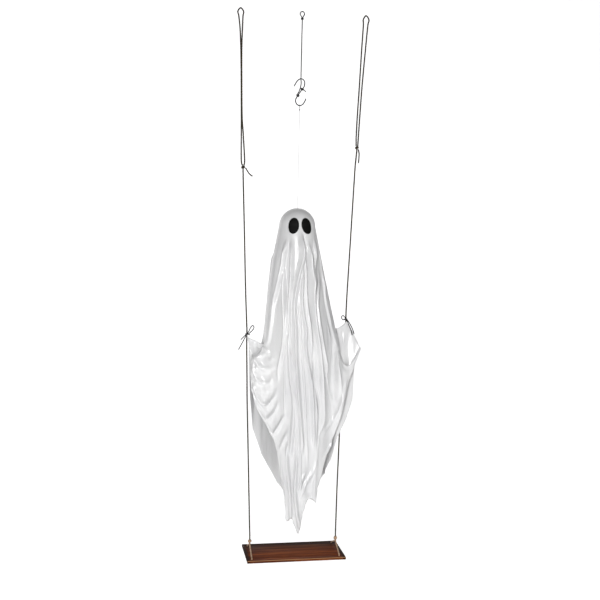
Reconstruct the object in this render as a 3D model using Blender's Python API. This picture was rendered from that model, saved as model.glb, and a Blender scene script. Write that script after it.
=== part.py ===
"""A ghost on a swing: a satin shroud draped over a foam head that hangs from an S-hook.

The shroud's two hands are tied to the ropes of a small wooden swing. The model is in metres,
+Z up, with the board's long side along X and the face looking along -Y. The origin is the top
of the middle hanging loop, and the two side loops reach the same height.
"""
import math

import bmesh
import bpy
from mathutils import Vector

# Clearances
GAP = 0.0003
CLOTH_CLEARANCE = 0.0010

# Cords and wire, as diameters
ROPE = 0.0042
CORD = 0.0030
STRING = 0.0024
LINE = 0.0008
WIRE = 0.0030

# Swing board
BOARD_LENGTH = 0.284
BOARD_DEPTH = 0.145
BOARD_THICKNESS = 0.007
BOARD_CENTRE_X = 0.001
BOARD_TOP = -1.5454
BOARD_EDGE_ROUNDING = 0.0015
HOLE = 0.0096
HOLE_FROM_SIDE = 0.0155
HOLE_FROM_END = 0.0155

# Head and the cloth over it
HEAD_RADIUS = 0.050
HEAD_CENTRE = Vector((-0.004, 0.0, -0.603))
HEAD_BORE = 0.004
CLOTH = 0.0016
CLOTH_HOLE = 0.0030
CONE_FLARE = 0.070
CONE_RUN = 0.27
CONE_DEPTH = 0.92
CONE_SHIFT = 0.012
SHOULDER = -0.925
ELBOW_DROP = {"left": 0.026, "right": 0.062}
ELBOW_SPREAD = 24.0
WING_RUN = 0.055
WING_START = 0.072
WING_END = 0.118
WING_FLATNESS = 0.22
WING_FORWARD = 0.0205
HEM_DEPTH = 0.046
FOLDS = 15
FOLD_HEIGHT = 0.0085
FOLD_START = 0.045
FOLD_RUN = 0.16

# Eyes: felt ovals that follow the cloth
EYE_WIDTH = 0.030
EYE_HEIGHT = 0.047
EYE_THICKNESS = 0.0010
EYE_AZIMUTH = 20.5
EYE_LIFT = 0.0015
EYE_TILT = {"left": 2.0, "right": 8.0}

# Knots along the cords: (x, z) of each knot's middle
KNOT_TURNS = 2
LEFT_KNOT = (-0.1610, -0.4410)
RIGHT_KNOT = (0.1655, -0.3750)
LEFT_TIE = (-0.1435, -0.9110)
RIGHT_TIE = (0.1440, -0.8680)
SEAT_KNOT_X = BOARD_LENGTH / 2 - HOLE_FROM_END
SEAT_KNOT_RISE = 0.0334
SEAT_KNOT_Z = BOARD_TOP + SEAT_KNOT_RISE
TOP_KNOT_Z = -0.0215

# The shroud's hem seen from the front: (degrees round the head from +X, x, z). The hands are at
# 180 and 0 degrees, the front tips near 270 and the back tip at 90.
HEM = (
    (0, 0.1435, -0.8707), (5, 0.1790, -0.9500), (10, 0.1700, -1.0000), (20, 0.1690, -1.0850),
    (35, 0.1420, -1.1800), (60, 0.0800, -1.3300), (90, 0.0150, -1.4450), (120, -0.0480, -1.3500),
    (145, -0.0980, -1.2620), (160, -0.1220, -1.1850), (170, -0.1320, -1.0900), (175, -0.1350, -0.9900),
    (180, -0.1396, -0.9137), (185, -0.1360, -0.9700), (195, -0.1310, -1.0700), (210, -0.1080, -1.1900),
    (230, -0.0780, -1.2600), (245, -0.0380, -1.3550), (255, -0.0140, -1.4530), (260, -0.0030, -1.4420),
    (270, 0.0140, -1.4920), (280, 0.0320, -1.4300), (290, 0.0440, -1.4090), (300, 0.0670, -1.4050),
    (305, 0.0760, -1.3600), (320, 0.1020, -1.2400), (335, 0.1340, -1.1200), (345, 0.1560, -1.0300),
    (350, 0.1660, -0.9950), (355, 0.1810, -0.9520),
)

# Detail of the meshes
COLUMNS = 72
DOME_ROWS = 5
CONE_ROWS = 7
SKIRT_ROWS = 10

MATERIALS = {
    "satin": ((0.90, 0.90, 0.90), 0.38, 0.0),
    "black_felt": ((0.01, 0.01, 0.01), 0.55, 0.0),
    "stained_wood": ((0.09, 0.03, 0.015), 0.45, 0.0),
    "dark_jute": ((0.10, 0.09, 0.075), 0.9, 0.0),
    "tan_jute": ((0.55, 0.36, 0.20), 0.9, 0.0),
    "grey_cord": ((0.06, 0.06, 0.06), 0.8, 0.0),
    "steel_wire": ((0.12, 0.12, 0.12), 0.35, 1.0),
    "clear_nylon": ((0.85, 0.87, 0.88), 0.15, 0.0),
    "foam": ((0.93, 0.93, 0.92), 0.8, 0.0),
}


def clear_scene():
    for obj in list(bpy.data.objects):
        bpy.data.objects.remove(obj)


def material(name):
    found = bpy.data.materials.get(name)
    if found:
        return found
    colour, roughness, metallic = MATERIALS[name]
    made = bpy.data.materials.new(name)
    made.use_nodes = True
    shader = made.node_tree.nodes["Principled BSDF"]
    shader.inputs["Base Color"].default_value = (*colour, 1.0)
    shader.inputs["Roughness"].default_value = roughness
    shader.inputs["Metallic"].default_value = metallic
    made.diffuse_color = (*colour, 1.0)
    return made


def add_object(name, data, finish):
    data.materials.append(material(finish))
    obj = bpy.data.objects.new(name, data)
    bpy.context.scene.collection.objects.link(obj)
    return obj


def add_mesh(name, points, faces, finish, smooth=True):
    mesh = bpy.data.meshes.new(name)
    mesh.from_pydata([tuple(p) for p in points], [], faces)
    build = bmesh.new()
    build.from_mesh(mesh)
    bmesh.ops.recalc_face_normals(build, faces=build.faces)
    build.to_mesh(mesh)
    build.free()
    if smooth:
        mesh.shade_smooth()
        mesh.set_sharp_from_angle(angle=math.radians(40))
    return add_object(name, mesh, finish)


def smooth_step(value):
    value = min(max(value, 0.0), 1.0)
    return value * value * (3 - 2 * value)


def curve_point(points, span, t):
    """A point on the smooth curve through the points, t from 0 to 1 between span and span + 1."""
    before = points[max(span - 1, 0)]
    start, end = points[span], points[span + 1]
    after = points[min(span + 2, len(points) - 1)]
    lean_in, lean_out = (end - before) / 2, (after - start) / 2
    return (start * (2 * t**3 - 3 * t**2 + 1) + lean_in * (t**3 - 2 * t**2 + t)
            + end * (3 * t**2 - 2 * t**3) + lean_out * (t**3 - t**2))


def smooth_route(route, spacing, square_end):
    """The smooth curve through a route's points, read at even steps and once near each end."""
    points = [Vector(p) for p in route]
    fine = [curve_point(points, span, i / 24) for span in range(len(points) - 1) for i in range(24)]
    fine.append(points[-1])
    runs = [0.0]
    for a, b in zip(fine, fine[1:]):
        runs.append(runs[-1] + (b - a).length)
    steps = min(max(round(runs[-1] / spacing), 4), 76)
    goals = [runs[-1] * i / steps for i in range(steps + 1)]
    goals = [0.0, square_end, *goals[1:-1], runs[-1] - square_end, runs[-1]]
    path, at = [], 0
    for goal in goals:
        while at < len(runs) - 2 and runs[at + 1] < goal:
            at += 1
        share = (goal - runs[at]) / (runs[at + 1] - runs[at])
        path.append(fine[at].lerp(fine[at + 1], min(max(share, 0.0), 1.0)))
    return path


def add_tube(name, route, diameter, finish, rounding=2, step=2.6):
    """A cord or a wire: a bevelled curve with closed ends, with a point every few diameters."""
    path = smooth_route(route, step * diameter, 0.4 * diameter)
    data = bpy.data.curves.new(name, "CURVE")
    data.dimensions = "3D"
    spline = data.splines.new("POLY")
    spline.points.add(len(path) - 1)
    for point, place in zip(spline.points, path):
        point.co = (*place, 1.0)
    data.bevel_depth = diameter / 2
    data.bevel_resolution = rounding
    data.use_fill_caps = True
    return add_object(name, data, finish)


def sweep(route, diameter, sides=6):
    """Points and faces of a closed tube along a smooth route, for a piece that is joined to another."""
    path = smooth_route(route, 2.2 * diameter, 0.4 * diameter)
    points, faces = [], []
    side = Vector((0.0, 1.0, 0.0))
    for i, place in enumerate(path):
        ahead = (path[min(i + 1, len(path) - 1)] - path[max(i - 1, 0)]).normalized()
        side = (side - ahead * side.dot(ahead)).normalized()
        across = ahead.cross(side)
        for j in range(sides):
            turn = 2 * math.pi * j / sides
            points.append(place + (side * math.cos(turn) + across * math.sin(turn)) * diameter / 2)
    for i in range(len(path) - 1):
        for j in range(sides):
            k = (j + 1) % sides
            faces.append((i * sides + j, i * sides + k, (i + 1) * sides + k, (i + 1) * sides + j))
    faces.append(tuple(range(sides)))
    faces.append(tuple((len(path) - 1) * sides + j for j in range(sides)))
    return points, faces


def spin_profile(profile, segments, centre, axis=(0, 0, 1)):
    """Points and faces of a turned shape. A profile off the axis closes on itself, as a ring."""
    turn = Vector((0, 0, 1)).rotation_difference(Vector(axis))
    ring = all(r > 0 for r, _ in profile)
    points, rows = [], []
    for r, h in profile:
        if r > 0:
            rows.append(list(range(len(points), len(points) + segments)))
            for j in range(segments):
                angle = 2 * math.pi * j / segments
                points.append(Vector((r * math.cos(angle), r * math.sin(angle), h)))
        else:
            rows.append([len(points)] * segments)
            points.append(Vector((0.0, 0.0, h)))
    pairs = list(zip(rows, rows[1:]))
    if ring:
        pairs.append((rows[-1], rows[0]))
    faces = []
    for low, high in pairs:
        for j in range(segments):
            k = (j + 1) % segments
            corners = []
            for index in (low[j], low[k], high[k], high[j]):
                if index not in corners:
                    corners.append(index)
            faces.append(tuple(corners))
    return [turn @ p + Vector(centre) for p in points], faces


def knot_half_height(strand):
    return strand * KNOT_TURNS / 2


def knot_profile(strand, bore=0.0, body=1.3):
    """The outline of a knot: the strand's turns one above the other, solid or round a bore."""
    outer = bore / 2 + strand if bore else strand * body
    half = knot_half_height(strand)
    profile = [(bore / 2, -half)] if bore else [(0.0, -half)]
    for turn in range(KNOT_TURNS):
        middle = -half + strand * (turn + 0.5)
        for degrees in (-70, 0, 70):
            angle = math.radians(degrees)
            bulge = strand / 2 * (math.cos(angle) - 1)
            profile.append((outer + bulge * 0.6, middle + strand / 2 * math.sin(angle)))
    profile[1] = (profile[1][0], -half)
    profile[-1] = (profile[-1][0], half)
    profile.append((bore / 2, half) if bore else (0.0, half))
    return profile


def add_knot(name, strand, centre, finish, axis=(0, 0, 1)):
    points, faces = spin_profile(knot_profile(strand), 14, centre, axis)
    return add_mesh(name, points, faces, finish)


def add_tie(name, strand, held, centre, finish, strands, axis=(0, 0, 1)):
    """A wrapped tie round a cord or a wire, with its loops and tails joined to the turns."""
    bore = held + 2 * GAP
    points, faces = spin_profile(knot_profile(strand, bore), 16, centre, axis)
    tie = add_mesh(name, points, faces, finish)
    for number, route in enumerate(strands):
        points, faces = sweep(route, strand * 0.96)
        part = add_mesh(f"{name}_strand_{number}", points, faces, finish)
        part.hide_render = True
        part.display_type = "WIRE"
        join = tie.modifiers.new("Join", "BOOLEAN")
        join.operation = "UNION"
        join.solver = "EXACT"
        join.object = part
    return tie


def cloth_sphere():
    """Radius of the middle of the cloth where it lies on the head."""
    return HEAD_RADIUS + CLOTH_CLEARANCE + CLOTH / 2


def cone_radius(drop):
    return cloth_sphere() + CONE_FLARE * (1 - math.exp(-drop / CONE_RUN))


def cloth_radius(z):
    """Radius of the cloth's middle at a height, over the dome and down the cone."""
    rise = z - HEAD_CENTRE.z
    if rise > 0:
        return math.sqrt(max(cloth_sphere() ** 2 - rise * rise, 0.0))
    return cone_radius(-rise)


def fold_wave(degrees):
    """Height of the folds round the cloth, from -1 in a valley to 1 on a ridge."""
    angle = math.radians(degrees)
    phase = FOLDS * angle + 0.9 * math.sin(2 * angle + 0.6) + 0.7 * math.sin(3 * angle)
    return math.cos(phase) * (0.8 + 0.2 * math.sin(4 * angle + 1.0))


def near(degrees, middle, spread):
    """A soft bump that is 1 at an angle and falls to nothing a few spreads away."""
    away = (degrees - middle + 180) % 360 - 180
    return math.exp(-((away / spread) ** 2))


def hem_point(degrees):
    """The hem's x and z at an angle, on a smooth line through the hem's own points."""
    count = len(HEM)
    for i in range(count):
        start, end = HEM[i], HEM[(i + 1) % count]
        width = (end[0] - start[0]) % 360
        along = (degrees - start[0]) % 360
        if along <= width:
            share = along / width
            share = share if share in (0.0, 1.0) else 0.5 * share + 0.5 * smooth_step(share)
            return (start[1] + (end[1] - start[1]) * share, start[2] + (end[2] - start[2]) * share)
    return HEM[0][1:]


def cone_point(degrees, z):
    """A point of the cloth on the dome or the cone at an angle and a height."""
    angle = math.radians(degrees)
    drop = max(HEAD_CENTRE.z - z, 0.0)
    radius = cloth_radius(z)
    depth = 1 + (CONE_DEPTH - 1) * smooth_step(drop / CONE_RUN)
    folds = FOLD_HEIGHT * smooth_step((drop - FOLD_START) / FOLD_RUN)
    radius += folds * (fold_wave(degrees) - 0.6)
    shift = CONE_SHIFT * (drop / CONE_RUN) ** 2
    return Vector((HEAD_CENTRE.x + shift + radius * math.cos(angle), radius * depth * math.sin(angle), z))


def skirt_point(degrees, share):
    """A point of the cloth between the shoulder and the hem, share 0 to 1 down the way."""
    angle = math.radians(degrees)
    left, right = near(degrees, 180, ELBOW_SPREAD), near(degrees, 0, ELBOW_SPREAD)
    start_z = SHOULDER - ELBOW_DROP["left"] * left - ELBOW_DROP["right"] * near(degrees, 350, ELBOW_SPREAD)
    start = cone_point(degrees, start_z)
    hem_x, hem_z = hem_point(degrees)
    side = math.copysign(abs(math.sin(angle)) ** 1.15, math.sin(angle))
    hem_y = HEM_DEPTH * side + FOLD_HEIGHT * 0.9 * fold_wave(degrees) * math.sin(angle)
    length = math.hypot(hem_x - start.x, hem_z - start_z)
    hand = max(left, right) ** 0.5
    out = (1 - hand) * share + hand * smooth_step(min(share * length / WING_RUN, 1.0))
    waves = FOLD_HEIGHT * (fold_wave(degrees) - 0.6) * math.sin(math.pi * share) * 0.4 * (1 - hand)
    x = start.x + (hem_x - start.x) * out
    y = start.y + (hem_y - start.y) * share ** 0.8 + waves * math.sin(angle)
    y = pass_rope(x, y, smooth_step(share * length / (WING_RUN / 2)), degrees, share)
    return Vector((x, y, start_z + (hem_z - start_z) * share))


def pass_rope(x, y, amount, degrees, share):
    """Flattens the right wing and moves it forward, so that it hangs in front of its rope."""
    reach = smooth_step((x - WING_START) / (WING_END - WING_START)) * amount
    tip = near(degrees, 0, 3.0) * share**4
    flattening = (1 - WING_FLATNESS) * reach
    return y * (1 - flattening) - WING_FORWARD * flattening * (1 - 0.75 * tip)


def shroud_rows():
    """The middle of the cloth as rows of points from the hole at the crown down to the hem."""
    angles = [360 * j / COLUMNS for j in range(COLUMNS)]
    first = math.asin((CLOTH_HOLE / 2 + CLOTH / 2) / cloth_sphere())
    rows = []
    for i in range(DOME_ROWS):
        polar = first + (math.pi / 2 - first) * i / DOME_ROWS
        z = HEAD_CENTRE.z + cloth_sphere() * math.cos(polar)
        rows.append([cone_point(a, z) for a in angles])
    for i in range(CONE_ROWS):
        row = []
        for a in angles:
            foot = skirt_point(a, 0.0).z
            row.append(cone_point(a, HEAD_CENTRE.z + (foot - HEAD_CENTRE.z) * i / CONE_ROWS))
        rows.append(row)
    for i in range(SKIRT_ROWS + 1):
        rows.append([skirt_point(a, i / SKIRT_ROWS) for a in angles])
    return rows


def make_shroud():
    rows = shroud_rows()
    skins = []
    for direction in (1, -1):
        skin = []
        for i, row in enumerate(rows):
            above, below = rows[max(i - 1, 0)], rows[min(i + 1, len(rows) - 1)]
            for j, place in enumerate(row):
                around = row[(j + 1) % COLUMNS] - row[j - 1]
                down = below[j] - above[j]
                normal = down.cross(around).normalized()
                skin.append(place + normal * direction * CLOTH / 2)
        skins.append(skin)
    count = len(rows) * COLUMNS
    faces = []
    for i in range(len(rows) - 1):
        for j in range(COLUMNS):
            k = (j + 1) % COLUMNS
            a, b = i * COLUMNS + j, i * COLUMNS + k
            c, d = b + COLUMNS, a + COLUMNS
            faces.append((a, b, c, d))
            faces.append((count + d, count + c, count + b, count + a))
    for start in (0, count - COLUMNS):
        for j in range(COLUMNS):
            k = (j + 1) % COLUMNS
            faces.append((start + j, start + k, count + start + k, count + start + j))
    add_mesh("shroud", skins[0] + skins[1], faces, "satin")


def make_eye(side):
    """A felt oval that lies on the cloth, with its top leaning towards the other eye."""
    sign = -1 if side == "left" else 1
    tilt = math.radians(EYE_TILT[side]) * sign
    rings, segments = 4, 24
    outline = [(i / rings, 1.0) for i in range(1, rings + 1)]
    outline.append((1.0, 0.0))
    outline += [(i / rings, 0.0) for i in range(rings - 1, 0, -1)]
    front = CLOTH / 2 + GAP + EYE_THICKNESS

    def place(share, layer, turn):
        a, b = share * EYE_WIDTH / 2 * math.cos(turn), share * EYE_HEIGHT / 2 * math.sin(turn)
        across = a * math.cos(tilt) - b * math.sin(tilt)
        z = HEAD_CENTRE.z + EYE_LIFT + b * math.cos(tilt) + a * math.sin(tilt)
        radius = cloth_radius(z)
        angle = math.radians(270 + sign * EYE_AZIMUTH) + across / radius
        crown = 0.3 * EYE_THICKNESS * (1 - share**4)
        height = front - EYE_THICKNESS + (EYE_THICKNESS * 0.7 + crown) * layer + GAP * 0.6
        slope = max(min((z - HEAD_CENTRE.z) / cloth_sphere(), 1.0), 0.0)
        reach = radius + height / math.sqrt(1 - slope * slope)
        return Vector((HEAD_CENTRE.x + reach * math.cos(angle), reach * math.sin(angle), z))

    points = [place(0.0, 1.0, 0.0), place(0.0, 0.0, 0.0)]
    for share, layer in outline:
        points += [place(share, layer, 2 * math.pi * j / segments) for j in range(segments)]
    faces = []
    for j in range(segments):
        k = (j + 1) % segments
        faces.append((0, 2 + j, 2 + k))
        last = 2 + (len(outline) - 1) * segments
        faces.append((1, last + k, last + j))
        for i in range(len(outline) - 1):
            a, b = 2 + i * segments + j, 2 + i * segments + k
            faces.append((a, a + segments, b + segments, b))
    add_mesh(f"eye_{side}", points, faces, "black_felt")


def make_head():
    """A foam ball with a bore for the line, and a bead of knotted line that stops it below."""
    start = math.asin(HEAD_BORE / 2 / HEAD_RADIUS)
    arc = [start + (math.pi - 2 * start) * i / 14 for i in range(15)]
    profile = [(HEAD_RADIUS * math.sin(a), HEAD_RADIUS * math.cos(a)) for a in arc]
    points, faces = spin_profile(profile, 28, HEAD_CENTRE)
    add_mesh("head_ball", points, faces, "foam")


def make_line():
    """The clear line: a loop on the hook, its knot, the run to the head and the knot below it."""
    hook_x, hook_z = -0.003, -0.2630
    over = WIRE / 2 + 2 * GAP + LINE / 2
    knot_z = hook_z - 0.0120
    half = knot_half_height(2 * LINE)
    foot = knot_z + half + GAP
    loop = [(hook_x, side * y, z) for side, y, z in (
        (1, 0.0008, foot), (1, 0.0021, foot + 0.004), (1, over + 0.0003, hook_z),
        (1, 0.0014, hook_z + over), (-1, 0.0014, hook_z + over), (-1, over + 0.0003, hook_z),
        (-1, 0.0021, foot + 0.004), (-1, 0.0008, foot))]
    add_tube("ghost_line_loop", loop, LINE, "clear_nylon", step=1.5)
    add_knot("ghost_line_knot", 2 * LINE, (hook_x, 0.0, knot_z), "clear_nylon")
    stop_half = knot_half_height(2.4 * LINE)
    bottom = HEAD_CENTRE.z - HEAD_RADIUS * math.cos(math.asin(HEAD_BORE / 2 / HEAD_RADIUS))
    stop_z = bottom - GAP - stop_half
    run = [(hook_x, 0.0, knot_z - half - GAP), (hook_x - 0.0004, 0.0, -0.42),
           (HEAD_CENTRE.x, 0.0, HEAD_CENTRE.z + 0.056), (HEAD_CENTRE.x, 0.0, HEAD_CENTRE.z),
           (HEAD_CENTRE.x, 0.0, stop_z + stop_half + GAP)]
    add_tube("ghost_line", run, LINE, "clear_nylon", step=20.0)
    add_knot("line_stop_knot", 2.4 * LINE, (HEAD_CENTRE.x, 0.0, stop_z), "clear_nylon")


HOOK_ROUTE = [(x, 0.0, z) for x, z in (
    (-0.0200, -0.2100), (-0.0165, -0.2030), (-0.0130, -0.1970), (-0.0070, -0.1905), (0.0005, -0.1880),
    (0.0075, -0.1915), (0.0105, -0.2000), (0.0085, -0.2095), (0.0035, -0.2170), (-0.0025, -0.2255),
    (-0.0090, -0.2350), (-0.0140, -0.2440), (-0.0152, -0.2510), (-0.0115, -0.2590), (-0.0030, -0.2630),
    (0.0055, -0.2590), (0.0110, -0.2510), (0.0150, -0.2420))]
SHANK = Vector((0.0065, 0.0, 0.0095)).normalized()
LOWER_WRAP = Vector((-0.0090, 0.0, -0.2350))
UPPER_WRAP = Vector((0.0035, 0.0, -0.2170))


def make_hook():
    add_tube("s_hook", HOOK_ROUTE, WIRE, "steel_wire", rounding=4)


def make_middle_cord():
    """The cord from its hanging loop over the front of the hook's crest to its wrap on the shank."""
    foot = TOP_KNOT_Z + knot_half_height(CORD) + GAP
    apex = -CORD / 2
    loop = [(-0.0017, 0.0, foot), (-0.0018, 0.0, foot + 0.0015), (-0.0042, 0.0, foot + 0.0050),
            (-0.0062, 0.0, foot + 0.0090), (-0.0048, 0.0, apex - 0.0026), (0.0, 0.0, apex),
            (0.0048, 0.0, apex - 0.0026), (0.0062, 0.0, foot + 0.0090), (0.0042, 0.0, foot + 0.0050),
            (0.0018, 0.0, foot + 0.0015), (0.0017, 0.0, foot)]
    add_tube("centre_top_loop", loop, CORD, "grey_cord", step=1.0)
    add_knot("centre_top_knot", CORD, (0.0, 0.0, TOP_KNOT_Z), "grey_cord")
    beside = SHANK.cross(Vector((0.0, 1.0, 0.0))).normalized()
    offset = beside * (WIRE / 2 + GAP + CORD / 2)
    end = LOWER_WRAP + SHANK * (knot_half_height(CORD) + GAP) + offset
    front = -(WIRE + CORD) / 2 - 2 * GAP
    run = [(0.0, 0.0, TOP_KNOT_Z - knot_half_height(CORD) - GAP), (-0.0003, -0.0006, -0.065),
           (-0.0008, -0.0020, -0.125), (-0.0013, front, -0.172), (-0.0012, front, -0.190),
           (-0.0006, front + 0.0002, -0.2010), (-0.0018, -0.0022, -0.2110),
           tuple(end + SHANK * 0.0080 + Vector((-0.0004, -0.0008, 0.0))), tuple(end)]
    add_tube("centre_cord", run, CORD, "grey_cord")
    add_tie("hook_lower_wrap", CORD, WIRE, LOWER_WRAP, "grey_cord", [], SHANK)
    stub_start = UPPER_WRAP + Vector((0.0032, -0.0012, -0.0010))
    stub = [tuple(stub_start), tuple(stub_start + Vector((0.0035, -0.0006, -0.0025))),
            tuple(stub_start + Vector((0.0066, -0.0008, -0.0062)))]
    add_tie("hook_upper_wrap", CORD, WIRE, UPPER_WRAP, "grey_cord", [stub], SHANK)


# The swing ropes' routes between their knots. A y above 0 lies behind the board's middle line.
LEFT_LOOP_ROUTE = (
    (-0.1664, 0.0002, -0.4200), (-0.1672, 0.0012, -0.3490), (-0.1677, 0.0024, -0.2960),
    (-0.1694, 0.0025, -0.2000), (-0.1716, 0.0024, -0.1120), (-0.1750, 0.0010, -0.0560),
    (-0.1790, 0.0, -0.0240), (-0.1816, 0.0, -0.0120), (-0.1738, 0.0, -0.0021), (-0.1655, 0.0, -0.0120),
    (-0.1672, 0.0, -0.0240), (-0.1682, -0.0010, -0.0560), (-0.1696, -0.0024, -0.1120),
    (-0.1684, -0.0025, -0.2000), (-0.1662, -0.0024, -0.2960), (-0.1620, -0.0012, -0.3490),
    (-0.1570, -0.0002, -0.4200))
RIGHT_LOOP_ROUTE = (
    (0.1628, 0.0006, -0.3450), (0.1645, 0.0012, -0.2960), (0.1690, 0.0008, -0.2000),
    (0.1730, 0.0, -0.1000), (0.1765, 0.0, -0.0300), (0.1758, 0.0, -0.0140), (0.1840, 0.0, -0.0021),
    (0.1925, 0.0, -0.0140), (0.1895, 0.0, -0.0300), (0.1840, 0.0, -0.1000), (0.1765, -0.0008, -0.2000),
    (0.1712, -0.0012, -0.2960), (0.1690, -0.0006, -0.3450))
LEFT_ROUTE = (
    (-0.1608, 0.0, -0.4560), (-0.1590, 0.0, -0.5040), (-0.1550, 0.0, -0.6140), (-0.1490, 0.0, -0.7830),
    (-0.1445, 0.0, -0.8800), (-0.1435, 0.0, -0.9000), (-0.1435, 0.0, -0.9220), (-0.1435, 0.0, -0.9480),
    (-0.1418, 0.0, -1.0170), (-0.1400, 0.0, -1.1010), (-0.1376, 0.0, -1.1700), (-0.1350, 0.0, -1.2480),
    (-0.1310, 0.0, -1.3680), (-0.1275, 0.0, -1.4700), (-SEAT_KNOT_X, 0.0, -1.4950))
RIGHT_ROUTE = (
    (0.1650, 0.0, -0.3880), (0.1625, 0.0, -0.4170), (0.1608, 0.0, -0.4450), (0.1530, 0.0, -0.6270),
    (0.1460, 0.0, -0.7890), (0.1441, 0.0, -0.8450), (0.1440, 0.0, -0.8600), (0.1440, 0.0, -0.8780),
    (0.1428, 0.0, -0.9000), (0.1385, 0.0, -1.0200), (0.1330, 0.0, -1.1700), (0.1300, 0.0, -1.2860),
    (0.1280, 0.0, -1.3760), (0.1268, 0.0, -1.4700), (SEAT_KNOT_X, 0.0, -1.4950))
LEFT_TAIL = (
    (0.0058, 0.0, -0.0021), (0.0074, 0.0, -0.0022), (0.0110, -0.0008, -0.0080),
    (0.0180, -0.0012, -0.0180), (0.0272, -0.0010, -0.0245))
RIGHT_TAIL = (
    (0.0038, -0.0023, -0.0046), (0.0039, -0.0025, -0.0064), (0.0056, -0.0045, -0.0160),
    (0.0054, -0.0050, -0.0300), (0.0046, -0.0046, -0.0440))


def make_side_rope(side, knot, loop_route, route, tail):
    """One swing rope: its hanging loop, the knot with its tail, and the run down to the seat knot."""
    x, z = knot
    half = knot_half_height(ROPE)
    top = z + half + GAP
    apart = ROPE / 2 + GAP
    ends = [[(x + dx, 0.0, top), (x + dx, 0.0, top + ROPE / 2)] for dx in (-apart, apart)]
    add_tube(f"{side}_top_loop", [*ends[0], *loop_route, *reversed(ends[1])], ROPE, "dark_jute", step=3.6)
    add_knot(f"{side}_upper_knot", ROPE, (x, 0.0, z), "dark_jute")
    seat_x = route[-1][0]
    seat_top = SEAT_KNOT_Z + half + GAP
    run = [(x, 0.0, z - half - GAP), *route, (seat_x, 0.0, seat_top)]
    add_tube(f"{side}_rope", run, ROPE, "dark_jute", step=4.5)
    add_tube(f"{side}_tail", [(x + dx, dy, z + dz) for dx, dy, dz in tail], ROPE * 0.9, "dark_jute")
    add_knot(f"{side}_seat_knot", ROPE, (seat_x, 0.0, SEAT_KNOT_Z), "tan_jute")


def make_sling(side, x):
    """The rope under the board: out of the seat knot, down one hole and up the other."""
    bottom = BOARD_TOP - BOARD_THICKNESS
    hole_y = BOARD_DEPTH / 2 - HOLE_FROM_SIDE
    start = SEAT_KNOT_Z - knot_half_height(ROPE) - GAP
    leg = [(0.0024, start), (0.0025, start - 0.0022), (0.0062, start - 0.0062),
           (0.0250, start - 0.0140), (0.0430, BOARD_TOP + 0.0076),
           (hole_y - 0.0030, BOARD_TOP + 0.0028), (hole_y + 0.0006, BOARD_TOP - 0.0040),
           (hole_y - 0.0006, bottom - 0.0015), (hole_y - 0.0070, bottom - 0.0058),
           (hole_y - 0.0260, bottom - 0.0046)]
    route = [(x, -y, z) for y, z in leg] + [(x, y, z) for y, z in reversed(leg)]
    add_tube(f"{side}_sling", route, ROPE, "tan_jute", step=1.7)


def make_board():
    """The swing's seat: a thin board with eased edges and a pair of rope holes at each end."""
    build = bmesh.new()
    bmesh.ops.create_cube(build, size=1.0)
    size = Vector((BOARD_LENGTH, BOARD_DEPTH, BOARD_THICKNESS))
    middle = Vector((BOARD_CENTRE_X, 0.0, BOARD_TOP - BOARD_THICKNESS / 2))
    for vertex in build.verts:
        vertex.co = Vector(a * b for a, b in zip(vertex.co, size)) + middle
    bmesh.ops.bevel(build, geom=build.edges[:], offset=BOARD_EDGE_ROUNDING, segments=2, affect="EDGES",
                    profile=0.5)
    mesh = bpy.data.meshes.new("seat_board")
    build.to_mesh(mesh)
    build.free()
    board = add_object("seat_board", mesh, "stained_wood")
    hole_y = BOARD_DEPTH / 2 - HOLE_FROM_SIDE
    for x in (-SEAT_KNOT_X, SEAT_KNOT_X):
        for y in (-hole_y, hole_y):
            drill = bmesh.new()
            bmesh.ops.create_cone(drill, cap_ends=True, segments=20, radius1=HOLE / 2, radius2=HOLE / 2,
                                  depth=BOARD_THICKNESS * 3)
            bmesh.ops.translate(drill, verts=drill.verts, vec=(x, y, BOARD_TOP - BOARD_THICKNESS / 2))
            hole_mesh = bpy.data.meshes.new("hole")
            drill.to_mesh(hole_mesh)
            drill.free()
            cutter = add_object("hole_cutter", hole_mesh, "stained_wood")
            cutter.hide_render = True
            cutter.display_type = "WIRE"
            cut = board.modifiers.new("Hole", "BOOLEAN")
            cut.operation = "DIFFERENCE"
            cut.solver = "EXACT"
            cut.object = cutter


LEFT_TIE_STRANDS = (
    ((0.0008, -0.0036, 0.0012), (0.0050, -0.0052, 0.0085), (0.0095, -0.0056, 0.0185),
     (0.0148, -0.0058, 0.0245), (0.0195, -0.0060, 0.0205), (0.0165, -0.0062, 0.0130),
     (0.0100, -0.0056, 0.0060), (0.0030, -0.0036, -0.0008)),
    ((0.0022, -0.0034, -0.0004), (0.0062, -0.0052, -0.0016), (0.0088, -0.0056, -0.0024)),
    ((-0.0022, -0.0032, -0.0012), (-0.0090, -0.0048, -0.0070), (-0.0178, -0.0050, -0.0162)),
    ((-0.0010, -0.0034, -0.0016), (-0.0090, -0.0060, -0.0160), (-0.0165, -0.0064, -0.0300),
     (-0.0238, -0.0060, -0.0440)),
)
RIGHT_TIE_STRANDS = (
    ((-0.0014, -0.0034, 0.0016), (-0.0062, -0.0048, 0.0085), (-0.0112, -0.0052, 0.0108),
     (-0.0142, -0.0052, 0.0062), (-0.0118, -0.0052, 0.0004), (-0.0070, -0.0046, -0.0012),
     (-0.0022, -0.0034, -0.0002)),
    ((0.0014, -0.0034, -0.0008), (0.0045, -0.0105, -0.0110), (0.0105, -0.0190, -0.0270),
     (0.0140, -0.0235, -0.0440)),
    ((0.0026, -0.0030, -0.0008), (0.0085, -0.0095, -0.0100), (0.0150, -0.0175, -0.0240),
     (0.0205, -0.0215, -0.0410)),
)


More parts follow.
